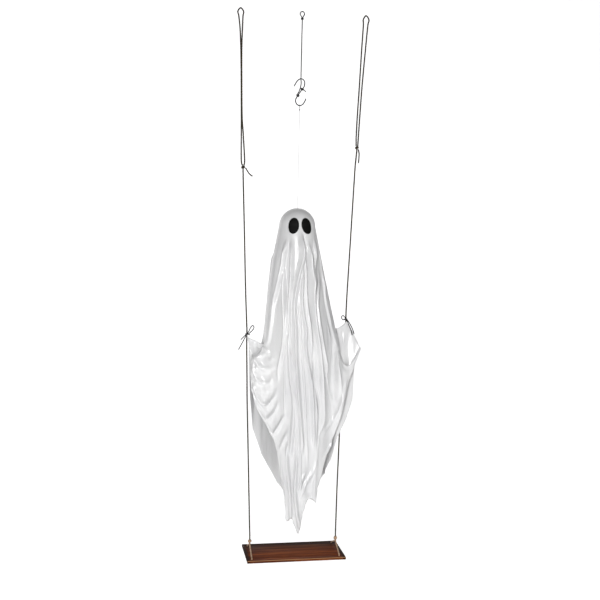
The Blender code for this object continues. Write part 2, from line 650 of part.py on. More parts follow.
def make_hand_tie(side, tie, strands):
    """The string that binds a corner of the shroud to the rope, with its bow and tails in front."""
    x, z = tie
    routes = [[(x + dx, dy, z + dz) for dx, dy, dz in strand] for strand in strands]
    add_tie(f"{side}_hand_tie", STRING, ROPE, (x, 0.0, z), "grey_cord", routes)


def main():
    clear_scene()
    make_middle_cord()
    make_hook()
    make_line()
    make_head()
    make_shroud()
    for side in ("left", "right"):
        make_eye(side)
    make_side_rope("left", LEFT_KNOT, LEFT_LOOP_ROUTE, LEFT_ROUTE, LEFT_TAIL)
    make_side_rope("right", RIGHT_KNOT, RIGHT_LOOP_ROUTE, RIGHT_ROUTE, RIGHT_TAIL)
    make_hand_tie("left", LEFT_TIE, LEFT_TIE_STRANDS)
    make_hand_tie("right", RIGHT_TIE, RIGHT_TIE_STRANDS)
    make_sling("left", -SEAT_KNOT_X)
    make_sling("right", SEAT_KNOT_X)
    make_board()


main()
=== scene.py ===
import math

import bmesh
import bpy
import numpy as np
from mathutils import Matrix, Vector, noise
from mathutils.bvhtree import BVHTree


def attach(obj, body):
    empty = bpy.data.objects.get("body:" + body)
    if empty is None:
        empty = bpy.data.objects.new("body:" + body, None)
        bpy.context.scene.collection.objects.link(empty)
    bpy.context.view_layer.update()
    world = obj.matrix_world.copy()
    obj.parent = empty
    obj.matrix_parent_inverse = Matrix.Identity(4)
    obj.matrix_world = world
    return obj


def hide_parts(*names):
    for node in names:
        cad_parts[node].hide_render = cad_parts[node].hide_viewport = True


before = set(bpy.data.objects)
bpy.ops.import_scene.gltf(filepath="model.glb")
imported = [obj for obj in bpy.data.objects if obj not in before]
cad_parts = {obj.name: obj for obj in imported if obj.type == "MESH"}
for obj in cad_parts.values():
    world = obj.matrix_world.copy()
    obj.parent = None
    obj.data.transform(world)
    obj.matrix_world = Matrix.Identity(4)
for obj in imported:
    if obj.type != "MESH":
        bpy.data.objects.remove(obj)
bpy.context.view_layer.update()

# Sizes repeated from the CAD source, in metres
GAP = 0.0003
ROPE = 0.0042
CORD = 0.0030
STRING = 0.0024
LINE = 0.0008
WIRE = 0.0030
BOARD_LENGTH = 0.284
BOARD_DEPTH = 0.145
BOARD_THICKNESS = 0.007
BOARD_CENTRE_X = 0.001
BOARD_TOP = -1.5454
HOLE = 0.0096
HOLE_INSET = 0.0155
HOLE_X = BOARD_LENGTH / 2 - HOLE_INSET
HOLE_Y = BOARD_DEPTH / 2 - HOLE_INSET
SEAT_KNOT_Z = BOARD_TOP + 0.0334
TOP_KNOT_Z = -0.0215
LEFT_KNOT = (-0.1610, -0.4410)
RIGHT_KNOT = (0.1655, -0.3750)
LEFT_TIE = (-0.1435, -0.9110)
RIGHT_TIE = (0.1440, -0.8680)
HEAD_RADIUS = 0.050
HEAD_CENTRE = Vector((-0.004, 0.0, -0.603))
EYE_WIDTH = 0.030
EYE_HEIGHT = 0.047
EYE_AZIMUTH = 20.5
EYE_LIFT = 0.0015
EYE_TILT = {"left": 2.0, "right": 8.0}
EYE_ON = 0.052  # radius of the cloth under the eyes
FELT = 0.0013
FELT_CLEAR = 0.0004


# Materials

def linear(colour):
    """A hex sRGB colour as the linear values that a shader takes."""
    parts = [int(colour[i:i + 2], 16) / 255 for i in (1, 3, 5)]
    return (*[c / 12.92 if c <= 0.04045 else ((c + 0.055) / 1.055) ** 2.4 for c in parts], 1.0)


def plug(node, **inputs):
    """Sets inputs by name, with _ for a space, or by number as in_0. A node stands for its first output."""
    for name, value in inputs.items():
        socket = node.inputs[int(name[3:]) if name.startswith("in_") else name.replace("_", " ")]
        if isinstance(value, bpy.types.Node):
            value = value.outputs[0]
        if isinstance(value, bpy.types.NodeSocket):
            node.id_data.links.new(value, socket)
        else:
            socket.default_value = value


def add(tree, kind, settings=None, stops=(), **inputs):
    """Adds a node with its settings, its colour stops as (place, hex colour), and its inputs."""
    node = tree.nodes.new(kind)
    for name, value in (settings or {}).items():
        setattr(node, name, value)
    for number, (place, colour) in enumerate(stops):
        elements = node.color_ramp.elements
        stop = elements[number] if number < 2 else elements.new(place)
        stop.position, stop.color = place, linear(colour)
    plug(node, **inputs)
    return node


def new_material(name, **inputs):
    """A material with one Principled shader, its tree, its shader and its Object coordinates."""
    made = bpy.data.materials.new(name)
    made.use_nodes = True
    shader = made.node_tree.nodes["Principled BSDF"]
    plug(shader, **inputs)
    return made, made.node_tree, shader, add(made.node_tree, "ShaderNodeTexCoord").outputs["Object"]


def white_satin():
    """Polyester satin: long floats of smooth yarn give a broad soft shine that runs along the folds."""
    made, tree, shader, place = new_material(
        "white_polyester_satin", Roughness=0.3, IOR=1.5, Specular_IOR_Level=0.9, Anisotropic=0.3,
        Coat_Weight=0.3, Coat_Roughness=0.2)
    sheet = add(tree, "ShaderNodeUVMap", {"uv_map": "flat"})
    tone = add(tree, "ShaderNodeTexNoise", Vector=place, Scale=9.0, Detail=2.0, Roughness=0.5)
    colour = add(tree, "ShaderNodeValToRGB", stops=((0.3, "#D2D2D3"), (0.7, "#DFDFDF")), Fac=tone)
    # Satin threads are 0.1 mm apart; drawn at 0.9 mm so that they show
    threads = add(tree, "ShaderNodeTexWave", {"bands_direction": "DIAGONAL"}, Vector=sheet, Scale=350.0,
                  Distortion=0.6, Detail=1.0)
    creases = add(tree, "ShaderNodeTexNoise", Vector=sheet, Scale=26.0, Detail=3.0, Roughness=0.45,
                  Distortion=0.8)
    fine = add(tree, "ShaderNodeBump", Strength=0.05, Distance=0.0004, Height=threads.outputs["Fac"])
    soft = add(tree, "ShaderNodeBump", Strength=0.18, Distance=0.004, Height=creases, Normal=fine)
    plug(shader, Base_Color=colour, Normal=soft)
    return made


def black_felt():
    """Pressed craft felt, dyed black: short matted fibres, almost without gloss."""
    made, tree, shader, place = new_material("black_pressed_felt", Roughness=0.6, Specular_IOR_Level=0.12)
    fibres = add(tree, "ShaderNodeTexNoise", Vector=place, Scale=900.0, Detail=4.0, Roughness=0.7,
                 Distortion=1.5)
    colour = add(tree, "ShaderNodeValToRGB", stops=((0.35, "#030303"), (0.75, "#0B0B0B")), Fac=fibres)
    bump = add(tree, "ShaderNodeBump", Strength=0.35, Distance=0.0004, Height=fibres)
    plug(shader, Base_Color=colour, Normal=bump)
    return made


def stained_pine():
    """Planed pine under a dark red-brown stain: the grain along the board drinks it unevenly."""
    made, tree, shader, place = new_material("stained_pine", Specular_IOR_Level=0.05)
    along = add(tree, "ShaderNodeMapping", Vector=place, Scale=(3.0, 60.0, 60.0))
    wavy = add(tree, "ShaderNodeTexNoise", Vector=along, Scale=1.0, Detail=3.0, Roughness=0.6,
               Distortion=1.2)
    closer = add(tree, "ShaderNodeMapping", Vector=place, Scale=(14.0, 520.0, 520.0))
    pores = add(tree, "ShaderNodeTexNoise", Vector=closer, Scale=1.0, Detail=5.0, Roughness=0.7)
    grain = add(tree, "ShaderNodeMix", {"data_type": "FLOAT"}, in_0=0.45, in_2=wavy, in_3=pores)
    colour = add(tree, "ShaderNodeValToRGB", Fac=grain, stops=(
        (0.32, "#301305"), (0.45, "#622B0F"), (0.57, "#90481B"), (0.70, "#BC733A")))
    # The wood is darker along the ends and the back, and on the front face.
    # Each band rises from nothing at its first place to its full strength at its second
    axes = add(tree, "ShaderNodeSeparateXYZ", Vector=place)
    step, end, edge = {"interpolation_type": "SMOOTHSTEP"}, BOARD_LENGTH / 2, BOARD_DEPTH / 2
    from_middle = add(tree, "ShaderNodeMath", {"operation": "ABSOLUTE"}, in_0=axes)
    bands = ((from_middle, end - 0.016, end - 0.005), (axes.outputs["Y"], -0.01, edge - 0.01),
             (axes.outputs["Y"], 0.0016 - edge, 0.0006 - edge),
             (axes.outputs["Z"], BOARD_TOP - 0.0016, BOARD_TOP - 0.0006))
    at_ends, at_back, at_front, at_top = [
        add(tree, "ShaderNodeMapRange", step, Value=value, From_Min=low, From_Max=high)
        for value, low, high in bands]
    on_face = add(tree, "ShaderNodeMath", {"operation": "MULTIPLY"}, in_0=at_front, in_1=0.62)
    sides = add(tree, "ShaderNodeMath", {"operation": "MAXIMUM"}, in_0=at_ends, in_1=at_back)
    edges = add(tree, "ShaderNodeMath", {"operation": "MAXIMUM"}, in_0=sides, in_1=on_face)
    edge_darkening = add(tree, "ShaderNodeMath", {"operation": "MULTIPLY"}, in_0=edges, in_1=0.86)
    darker = add(tree, "ShaderNodeMix", {"data_type": "RGBA"}, in_0=edge_darkening, in_6=colour,
                 in_7=linear("#1A0B05"))
    # The front arris is painted paler: a painted highlight along the rounded top front edge
    arris_highlight_mask = add(tree, "ShaderNodeMath", {"operation": "MULTIPLY"}, in_0=at_front, in_1=at_top)
    painted_arris_highlight = add(tree, "ShaderNodeMix", {"data_type": "RGBA"}, in_0=arris_highlight_mask, in_6=darker.outputs[2],
                 in_7=linear("#B08560"))
    rough = add(tree, "ShaderNodeMapRange", Value=pores, To_Min=0.5, To_Max=0.75)
    bump = add(tree, "ShaderNodeBump", Strength=0.3, Distance=0.0006, Height=grain)
    plug(shader, Base_Color=painted_arris_highlight.outputs[2], Roughness=rough, Normal=bump)
    return made


def twisted_fibre(name, dark, light, roughness=0.85):
    """Twisted jute or cotton: dull dry fibres, blotched, with odd pale hairs."""
    made, tree, shader, place = new_material(name, Roughness=roughness, Sheen_Weight=0.15,
                                             Specular_IOR_Level=0.3)
    blotches = add(tree, "ShaderNodeTexNoise", Vector=place, Scale=140.0, Detail=3.0, Roughness=0.6)
    hairs = add(tree, "ShaderNodeTexNoise", Vector=place, Scale=1500.0, Detail=3.0, Roughness=0.7,
                Distortion=2.0)
    both = add(tree, "ShaderNodeMix", {"data_type": "FLOAT"}, in_0=0.5, in_2=blotches, in_3=hairs)
    colour = add(tree, "ShaderNodeValToRGB", stops=((0.35, dark), (0.65, light)), Fac=both)
    bump = add(tree, "ShaderNodeBump", Strength=0.5, Distance=0.0004, Height=hairs)
    plug(shader, Base_Color=colour, Normal=bump)
    return made


def blackened_steel():
    """Bent steel wire, blackened: dark, with a low sheen and rubbed greyer spots."""
    made, tree, shader, place = new_material("blackened_steel_wire", Metallic=0.4)
    rub = add(tree, "ShaderNodeTexNoise", Vector=place, Scale=220.0, Detail=3.0, Roughness=0.6)
    colour = add(tree, "ShaderNodeValToRGB", stops=((0.35, "#0E0E10"), (0.7, "#2E2E31")), Fac=rub)
    rough = add(tree, "ShaderNodeMapRange", Value=rub, To_Min=0.35, To_Max=0.6)
    plug(shader, Base_Color=colour, Roughness=rough)
    return made


def clear_nylon():
    """Nylon monofilament: smoke grey and thin, so it shows only as a faint line."""
    return new_material("clear_nylon_line", Base_Color=linear("#46494B"), Roughness=0.15, IOR=1.53,
                        Transmission_Weight=0.1)[0]


def white_foam():
    """Expanded foam: matt white beads pressed together."""
    made, tree, shader, place = new_material("white_bead_foam", Base_Color=linear("#F1F1EF"), Roughness=0.8)
    beads = add(tree, "ShaderNodeTexVoronoi", Vector=place, Scale=320.0)
    plug(shader, Normal=add(tree, "ShaderNodeBump", Strength=0.4, Distance=0.0008, Height=beads))
    return made


SATIN = white_satin()
BLACK_FELT = black_felt()
PINE = stained_pine()
DARK_JUTE = twisted_fibre("dark_twisted_jute", "#130E08", "#403526")
TAN_JUTE = twisted_fibre("natural_twisted_jute", "#7E5C44", "#E2C0A0")
GREY_CORD = twisted_fibre("charcoal_cotton_cord", "#08080A", "#26262A", 0.75)
STEEL = blackened_steel()
NYLON = clear_nylon()
FOAM = white_foam()


# Making pieces

def link(name, data, finish=None):
    """An object in the scene, with its one material."""
    obj = bpy.data.objects.new(name, data)
    bpy.context.scene.collection.objects.link(obj)
    if finish:
        data.materials.clear()
        data.materials.append(finish)
    return obj


def as_mesh(name, build):
    """The mesh that was built, ready for an object."""
    data = bpy.data.meshes.new(name)
    build.to_mesh(data)
    build.free()
    return data


def skin(build, rings):
    """Faces between each ring of vertices and the next. A ring that is one vertex repeated is a centre."""
    for low, high in zip(rings, rings[1:]):
        for j in range(len(low)):
            k = (j + 1) % len(low)
            build.faces.new(list(dict.fromkeys((low[j], low[k], high[k], high[j]))))
    bmesh.ops.recalc_face_normals(build, faces=build.faces)


def finish_piece(obj, *nodes):
    """Puts a piece on the body, in place of its CAD nodes."""
    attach(obj, "root")
    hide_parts(*nodes)
    return obj


def hermite(start, end, lean_in, lean_out, t):
    """A share t of the way along the smooth curve between two places with their leans."""
    return (start * (2 * t**3 - 3 * t**2 + 1) + lean_in * (t**3 - 2 * t**2 + t)
            + end * (3 * t**2 - 2 * t**3) + lean_out * (t**3 - t**2))


def curve_point(points, span, t):
    """A place on the smooth curve through points, a share t of the way along one span."""
    before = points[max(span - 1, 0)]
    start, end = points[span], points[span + 1]
    after = points[min(span + 2, len(points) - 1)]
    return hermite(start, end, (end - before) / 2, (after - start) / 2, t)


def lengths_along(path):
    """The length of a path up to each of its points."""
    runs = [0.0]
    for a, b in zip(path, path[1:]):
        runs.append(runs[-1] + (b - a).length)
    return runs


def even_points(points, count):
    """Points at even steps along the smooth curve through a route's points."""
    fine = [curve_point(points, span, i / 24) for span in range(len(points) - 1) for i in range(24)]
    fine.append(points[-1])
    runs = lengths_along(fine)
    path, at = [], 0
    for i in range(count):
        goal = runs[-1] * i / (count - 1)
        while at < len(runs) - 2 and runs[at + 1] < goal:
            at += 1
        share = (goal - runs[at]) / (runs[at + 1] - runs[at])
        path.append(fine[at].lerp(fine[at + 1], min(max(share, 0.0), 1.0)))
    return path


def smooth_route(route, spacing):
    """The smooth curve through a route's points, read at even steps near the spacing asked for."""
    points = [Vector(p) for p in route]
    length = lengths_along(even_points(points, 24 * len(points)))[-1]
    return even_points(points, max(round(length / spacing), 6) + 1)


def rope_tree():
    """Geometry nodes: lays a strand-shaped section along a path and turns it as it goes."""
    tree = bpy.data.node_groups.new("twisted_rope", "GeometryNodeTree")
    face = tree.interface
    face.new_socket("Path", in_out="INPUT", socket_type="NodeSocketGeometry")
    for name, value in (("Diameter", ROPE), ("Pitch", 0.014), ("Strands", 3.0), ("Groove", 0.16)):
        face.new_socket(name, in_out="INPUT", socket_type="NodeSocketFloat").default_value = value
    face.new_socket("Sides", in_out="INPUT", socket_type="NodeSocketInt").default_value = 18
    face.new_socket("Fibre", in_out="INPUT", socket_type="NodeSocketMaterial")
    face.new_socket("Rope", in_out="OUTPUT", socket_type="NodeSocketGeometry")
    given = add(tree, "NodeGroupInput").outputs
    as_curve = add(tree, "GeometryNodeMeshToCurve", Mesh=given["Path"])
    along = add(tree, "GeometryNodeSplineParameter").outputs["Length"]
    turns = add(tree, "ShaderNodeMath", {"operation": "DIVIDE"}, in_0=along, in_1=given["Pitch"])
    twist = add(tree, "ShaderNodeMath", {"operation": "MULTIPLY"}, in_0=turns, in_1=math.tau)
    laid = add(tree, "GeometryNodeSetCurveTilt", Curve=as_curve, Tilt=twist)
    radius = add(tree, "ShaderNodeMath", {"operation": "MULTIPLY"}, in_0=given["Diameter"], in_1=0.5)
    ring = add(tree, "GeometryNodeCurvePrimitiveCircle", Resolution=given["Sides"], Radius=radius)
    # The ring's radius dips between the strands
    spot = add(tree, "GeometryNodeInputPosition")
    parts = add(tree, "ShaderNodeSeparateXYZ", Vector=spot)
    angle = add(tree, "ShaderNodeMath", {"operation": "ARCTAN2"}, in_0=parts.outputs["Y"], in_1=parts)
    lobes = add(tree, "ShaderNodeMath", {"operation": "MULTIPLY"}, in_0=angle, in_1=given["Strands"])
    wave = add(tree, "ShaderNodeMath", {"operation": "COSINE"}, in_0=lobes)
    dip = add(tree, "ShaderNodeMath", {"operation": "MULTIPLY_ADD"}, in_0=wave, in_1=0.5, in_2=-0.5)
    share = add(tree, "ShaderNodeMath", {"operation": "MULTIPLY_ADD"}, in_0=dip, in_1=given["Groove"],
                in_2=1.0)
    lobed = add(tree, "ShaderNodeVectorMath", {"operation": "SCALE"}, in_0=spot, Scale=share)
    section = add(tree, "GeometryNodeSetPosition", Geometry=ring, Position=lobed)
    tube = add(tree, "GeometryNodeCurveToMesh", Curve=laid, Profile_Curve=section, Fill_Caps=True)
    smooth = add(tree, "GeometryNodeSetShadeSmooth", Geometry=tube)
    real = add(tree, "GeometryNodeRealizeInstances", Geometry=smooth)
    finished = add(tree, "GeometryNodeSetMaterial", Geometry=real, Material=given["Fibre"])
    add(tree, "NodeGroupOutput", Rope=finished)
    return tree


ROPE_TREE = rope_tree()
# Monofilament has no strands: a round section that turns so slowly that no twist shows
PLAIN_ROUND = {"pitch": 9000.0, "groove": 0.0, "sides": 12}


def twisted(name, path, diameter, fibre, pitch=3.4, groove=0.16, sides=18):
    """A cord along a path. Where its strands show, their crowns stand a tenth proud of its plain size."""
    line = bpy.data.meshes.new(name + "_line")
    line.from_pydata([tuple(p) for p in path], [(i, i + 1) for i in range(len(path) - 1)], [])
    base = link(name + "_path", line)
    laid = base.modifiers.new("Lay", "NODES")
    laid.node_group = ROPE_TREE
    sizes = {"Diameter": (1.1 if groove else 1.0) * diameter, "Pitch": pitch * diameter, "Groove": groove,
             "Sides": sides, "Fibre": fibre}
    for item in ROPE_TREE.interface.items_tree:
        if item.name in sizes:
            laid[item.identifier] = sizes[item.name]
    mesh = bpy.data.meshes.new_from_object(base.evaluated_get(bpy.context.evaluated_depsgraph_get()))
    bpy.data.objects.remove(base)
    return link(name, mesh)


def joined(name, *objs):
    """Several meshes as one piece."""
    target = bmesh.new()
    finish = objs[0].data.materials[0]
    for obj in objs:
        target.from_mesh(obj.data)
    mesh = as_mesh(name, target)
    mesh.shade_smooth()
    for obj in objs:
        bpy.data.objects.remove(obj)
    return link(name, mesh, finish)


# Camera: the photograph's place and lens, worked out from the board's corners and holes

def place_camera():
    """The camera looks a little to the right and down, and is turned a degree."""
    forward = Vector((0.17245, 0.98302, -0.06279)).normalized()
    roll = math.radians(1.05)
    right = forward.cross(Vector((0, 0, 1))).normalized()
    up = right.cross(forward)
    across = right * math.cos(roll) + up * math.sin(roll)
    above = up * math.cos(roll) - right * math.sin(roll)
    data = bpy.data.cameras.new("camera")
    data.sensor_width = 36.0
    data.lens = 53.4
    camera = link("camera", data)
    turn = Matrix((across, above, -forward)).transposed().to_4x4()
    turn.translation = Vector((-0.4318, -2.5076, -0.6530))
    camera.matrix_world = turn
    bpy.context.scene.camera = camera


place_camera()


# Cords. Routes repeated from the CAD source, in millimetres; a y above 0 lies behind the board's middle

def in_metres(points, place=(0.0, 0.0, 0.0)):
    """A route's points from millimetres: (x, y, z), or (x, z) in the middle plane, counted from a place."""
    full = [point if len(point) == 3 else (point[0], 0.0, point[1]) for point in points]
    return [tuple(start + value / 1000 for start, value in zip(place, point)) for point in full]


LEFT_LOOP_ROUTE = (
    (-166.4, 0.2, -420), (-167.2, 1.2, -349), (-167.7, 2.4, -296), (-169.4, 2.5, -200),
    (-171.6, 2.4, -112), (-175, 1, -56), (-179, 0, -24), (-181.6, 0, -12), (-173.8, 0, -2.1),
    (-165.5, 0, -12), (-167.2, 0, -24), (-168.2, -1, -56), (-169.6, -2.4, -112), (-168.4, -2.5, -200),
    (-166.2, -2.4, -296), (-162, -1.2, -349), (-157, -0.2, -420))
RIGHT_LOOP_ROUTE = (
    (162.8, 0.6, -345), (164.5, 1.2, -296), (169, 0.8, -200), (173, 0, -100), (176.5, 0, -30),
    (175.8, 0, -14), (184, 0, -2.1), (192.5, 0, -14), (189.5, 0, -30), (184, 0, -100),
    (176.5, -0.8, -200), (171.2, -1.2, -296), (169, -0.6, -345))
LEFT_ROUTE = (  # in x and z, down to the seat knot
    (-160.8, -456), (-159, -504), (-155, -614), (-149, -783), (-144.5, -880), (-143.5, -900),
    (-143.5, -922), (-143.5, -948), (-141.8, -1017), (-140, -1101), (-137.6, -1170), (-135, -1248),
    (-131, -1368), (-127.5, -1470))
RIGHT_ROUTE = (  # in x and z, down to the seat knot
    (165, -388), (162.5, -417), (160.8, -445), (153, -627), (146, -789), (144.1, -845), (144, -860),
    (144, -878), (142.8, -900), (138.5, -1020), (133, -1170), (130, -1286), (128, -1376), (126.8, -1470))
LEFT_TAIL = (
    (5.8, 0, -2.1), (7.4, 0, -2.2), (11, -0.8, -8), (18, -1.2, -18), (27.2, -1, -24.5))
RIGHT_TAIL = (
    (3.8, -2.3, -4.6), (3.9, -2.5, -6.4), (5.6, -4.5, -16), (5.4, -5, -30), (4.6, -4.6, -44))
LEFT_TIE_STRANDS = (
    ((0.8, -3.6, 1.2), (5, -5.2, 8.5), (9.5, -5.6, 18.5), (14.8, -5.8, 24.5), (19.5, -6, 20.5),
     (16.5, -6.2, 13), (10, -5.6, 6), (3, -3.6, -0.8)),
    ((2.2, -3.4, -0.4), (6.2, -5.2, -1.6), (8.8, -5.6, -2.4)),
    ((-2.2, -3.2, -1.2), (-9, -4.8, -7), (-17.8, -5, -16.2)),
    ((-1, -3.4, -1.6), (-9, -6, -16), (-16.5, -6.4, -30), (-23.8, -6, -44)))
RIGHT_TIE_STRANDS = (
    ((-1.4, -3.4, 1.6), (-6.2, -4.8, 8.5), (-11.2, -5.2, 10.8), (-14.2, -5.2, 6.2), (-11.8, -5.2, 0.4),
     (-7, -4.6, -1.2), (-2.2, -3.4, -0.2)),
    ((1.4, -3.4, -0.8), (4.5, -10.5, -11), (10.5, -19, -27), (14, -23.5, -44)),
    ((2.6, -3, -0.8), (8.5, -9.5, -10), (15, -17.5, -24), (20.5, -21.5, -41)))
HOOK_ROUTE = (  # in x and z
    (-20, -210), (-16.5, -203), (-13, -197), (-7, -190.5), (0.5, -188), (7.5, -191.5), (10.5, -200),
    (8.5, -209.5), (3.5, -217), (-2.5, -225.5), (-9, -235), (-14, -244), (-15.2, -251), (-11.5, -259),
    (-3, -263), (5.5, -259), (11, -251), (15, -242))
SHANK = Vector((0.0065, 0.0, 0.0095)).normalized()
LOWER_WRAP = Vector((-0.0090, 0.0, -0.2350))
UPPER_WRAP = Vector((0.0035, 0.0, -0.2170))


def free_cord(name, node, route, diameter, fibre, with_pieces=(), stiffness="limp", step=0.45, **look):
    """A taut cord on its CAD node's route."""
    path = smooth_route(route, step * diameter)
    obj = finish_piece(twisted(name, path, diameter, fibre, **look), node)
    return obj


def knot_parts(strand, centre, fibre, axis=(0, 0, 1), bore=0.0, start=0.0):
    """A wrapped knot: two turns laid side by side, one that crosses in front, and a core if it is solid."""
    ring = bore / 2 + strand / 2 + (0.0001 if bore else strand * 0.32)
    coil, front = [], []
    for share in np.linspace(0, 1, 53):
        angle = start + 2 * math.tau * share
        coil.append(Vector((ring * math.cos(angle), ring * math.sin(angle), strand * (share - 0.5))))
    for share in np.linspace(-0.5, 0.5, 15):
        bow = ring + strand * 0.30 * math.cos(math.pi * share)
        front.append(Vector((strand * 1.3 * share, -bow, strand * 1.1 * share)))
    runs = [(coil, 1.0, 14), (front, 0.8, 12)]
    if not bore:
        runs.append(([Vector((0, 0, strand * height)) for height in np.linspace(-1, 1, 9)], 1.1, 12))
    turn = Vector((0, 0, 1)).rotation_difference(Vector(axis))
    return [twisted("knot_part", [turn @ p + Vector(centre) for p in run], strand * thick, fibre,
                    sides=sides) for run, thick, sides in runs]


def make_knot(name, node, *sizes, **wrap):
    """A knot as a piece of its own, in place of the CAD's knot."""
    return finish_piece(joined(name, *knot_parts(*sizes, **wrap)), node)


def make_side_rope(side, knot, loop_route, route, tail, tie_piece):
    """One rope of the swing: hanging loop, knot and tail, the run, the seat knot and the board's sling."""
    x, z = knot
    apart = ROPE / 2 + GAP
    reach = ROPE + GAP
    seat_x = -HOLE_X if side == "left" else HOLE_X
    upper = make_knot(f"{side}_rope_knot", f"{side}_upper_knot", ROPE, (x, 0.0, z), DARK_JUTE, start=1.0)
    seat = make_knot(f"{side}_board_knot", f"{side}_seat_knot", ROPE, (seat_x, 0.0, SEAT_KNOT_Z), TAN_JUTE,
                     start=2.2)
    tail_path = smooth_route(in_metres(tail, (x, 0.0, z)), 0.45 * ROPE)
    end = finish_piece(twisted(f"{side}_rope_tail", tail_path, ROPE * 0.9, DARK_JUTE), f"{side}_tail")
    ends = [[(x + dx, 0.0, z + reach), (x + dx, 0.0, z + reach + ROPE / 2)] for dx in (-apart, apart)]
    loop = [*ends[0], *in_metres(loop_route), *reversed(ends[1])]
    free_cord(f"{side}_hanging_loop", f"{side}_top_loop", loop, ROPE, DARK_JUTE, [upper, end])
    run = [(x, 0.0, z - reach), *in_metres(route), (seat_x, 0.0, SEAT_KNOT_Z + 0.017),
           (seat_x, 0.0, SEAT_KNOT_Z + reach)]
    free_cord(f"{side}_swing_rope", f"{side}_rope", run, ROPE, DARK_JUTE, [tie_piece, seat])
    bottom = BOARD_TOP - BOARD_THICKNESS
    start = SEAT_KNOT_Z - reach
    leg = [(0.0024, start), (0.0025, start - 0.0022), (0.0062, start - 0.0062),
           (0.0250, start - 0.0140), (0.0430, BOARD_TOP + 0.0076),
           (HOLE_Y - 0.0030, BOARD_TOP + 0.0028), (HOLE_Y + 0.0006, BOARD_TOP - 0.0040),
           (HOLE_Y - 0.0006, bottom - 0.0015), (HOLE_Y - 0.0070, bottom - 0.0058),
           (HOLE_Y - 0.0260, bottom - 0.0046)]
    sling = [(seat_x, -y, h) for y, h in leg] + [(seat_x, y, h) for y, h in reversed(leg)]
    free_cord(f"{side}_board_sling", f"{side}_sling", sling, ROPE, TAN_JUTE)


def make_hand_tie(side, tie, strands):
    """The string round the rope at a hand: its turns, its bow and its tails, as one knotted piece."""
    x, z = tie
    parts = knot_parts(STRING, (x, 0.0, z), GREY_CORD, bore=ROPE + 2 * GAP, start=0.4)
    for strand in strands:
        route = smooth_route(in_metres(strand, (x, 0.0, z)), 0.5 * STRING)
        parts.append(twisted("tie_strand", route, STRING * 1.15, GREY_CORD, sides=12))
    return finish_piece(joined(f"{side}_hand_string", *parts), f"{side}_hand_tie")


def make_middle_cord():
    """The cord that the ghost hangs from: its top loop and knot, its run, and its two wraps on the hook."""
    foot = TOP_KNOT_Z + CORD + GAP
    apex = -CORD / 2
    knot = make_knot("centre_loop_knot", "centre_top_knot", CORD, (0.0, 0.0, TOP_KNOT_Z), GREY_CORD)
    half_loop = [(0.0017, foot), (0.0018, foot + 0.0015), (0.0042, foot + 0.0050), (0.0062, foot + 0.0090),
                 (0.0048, apex - 0.0026)]
    loop = [*[(-x, 0.0, z) for x, z in half_loop], (0.0, 0.0, apex),
            *[(x, 0.0, z) for x, z in reversed(half_loop)]]
    free_cord("centre_hanging_loop", "centre_top_loop", loop, CORD, GREY_CORD, [knot])
    beside = SHANK.cross(Vector((0.0, 1.0, 0.0))).normalized()
    end = LOWER_WRAP + SHANK * (CORD + GAP) + beside * (WIRE / 2 + GAP + CORD / 2)
    front = -(WIRE + CORD) / 2 - 2 * GAP
    run = [(0.0, 0.0, TOP_KNOT_Z - CORD - GAP), (-0.0003, -0.0006, -0.065),
           (-0.0008, -0.0020, -0.125), (-0.0013, front, -0.172), (-0.0012, front, -0.190),
           (-0.0006, front + 0.0002, -0.2010), (-0.0018, -0.0022, -0.2110),
           tuple(end + SHANK * 0.0080 + Vector((-0.0004, -0.0008, 0.0))), tuple(end)]
    on_shank = {"axis": SHANK, "bore": WIRE + 2 * GAP}
    lower = make_knot("shank_lower_wrap", "hook_lower_wrap", CORD, LOWER_WRAP, GREY_CORD, **on_shank)
    turns = knot_parts(CORD, UPPER_WRAP, GREY_CORD, start=1.4, **on_shank)
    start = UPPER_WRAP + Vector((0.0032, -0.0012, -0.0010))
    stub = [start, start + Vector((0.0035, -0.0006, -0.0025)), start + Vector((0.0066, -0.0008, -0.0062))]
    stub = twisted("shank_stub", smooth_route(stub, 0.5 * CORD), CORD * 0.9, GREY_CORD)
    upper = finish_piece(joined("shank_upper_wrap", *turns, stub), "hook_upper_wrap")
    free_cord("centre_hanging_cord", "centre_cord", run, CORD, GREY_CORD, [lower, upper])


def make_line():
    """The clear line from the hook to the ball, with its loop, its knot and the knot that stops it."""
    hook_x, hook_z = -0.003, -0.2630
    over = WIRE / 2 + 2 * GAP + LINE / 2
    knot_z = hook_z - 0.0120
    half = 2 * LINE
    foot = knot_z + half + GAP
    side = [(0.0008, foot), (0.0021, foot + 0.004), (over + 0.0003, hook_z), (0.0014, hook_z + over)]
    loop = [*[(hook_x, y, z) for y, z in side], *[(hook_x, -y, z) for y, z in reversed(side)]]
    knot = make_knot("line_loop_knot", "ghost_line_knot", 2 * LINE, (hook_x, 0.0, knot_z), NYLON)
    eye = finish_piece(twisted("line_loop", smooth_route(loop, 0.6 * LINE), LINE, NYLON, **PLAIN_ROUND),
                       "ghost_line_loop")
    stop_half = 2.4 * LINE
    bottom = HEAD_CENTRE.z - HEAD_RADIUS * math.cos(math.asin(0.002 / HEAD_RADIUS))
    stop_z = bottom - GAP - stop_half
    run = [(hook_x, 0.0, knot_z - half - GAP), (hook_x - 0.0004, 0.0, -0.42),
           (HEAD_CENTRE.x, 0.0, HEAD_CENTRE.z + 0.056), (HEAD_CENTRE.x, 0.0, HEAD_CENTRE.z),
           (HEAD_CENTRE.x, 0.0, stop_z + stop_half + GAP)]
    stop = make_knot("line_end_knot", "line_stop_knot", stop_half, (HEAD_CENTRE.x, 0.0, stop_z), NYLON)
    free_cord("clear_line", "ghost_line", run, LINE, NYLON, [eye, knot, stop], "medium", 2.0, **PLAIN_ROUND)


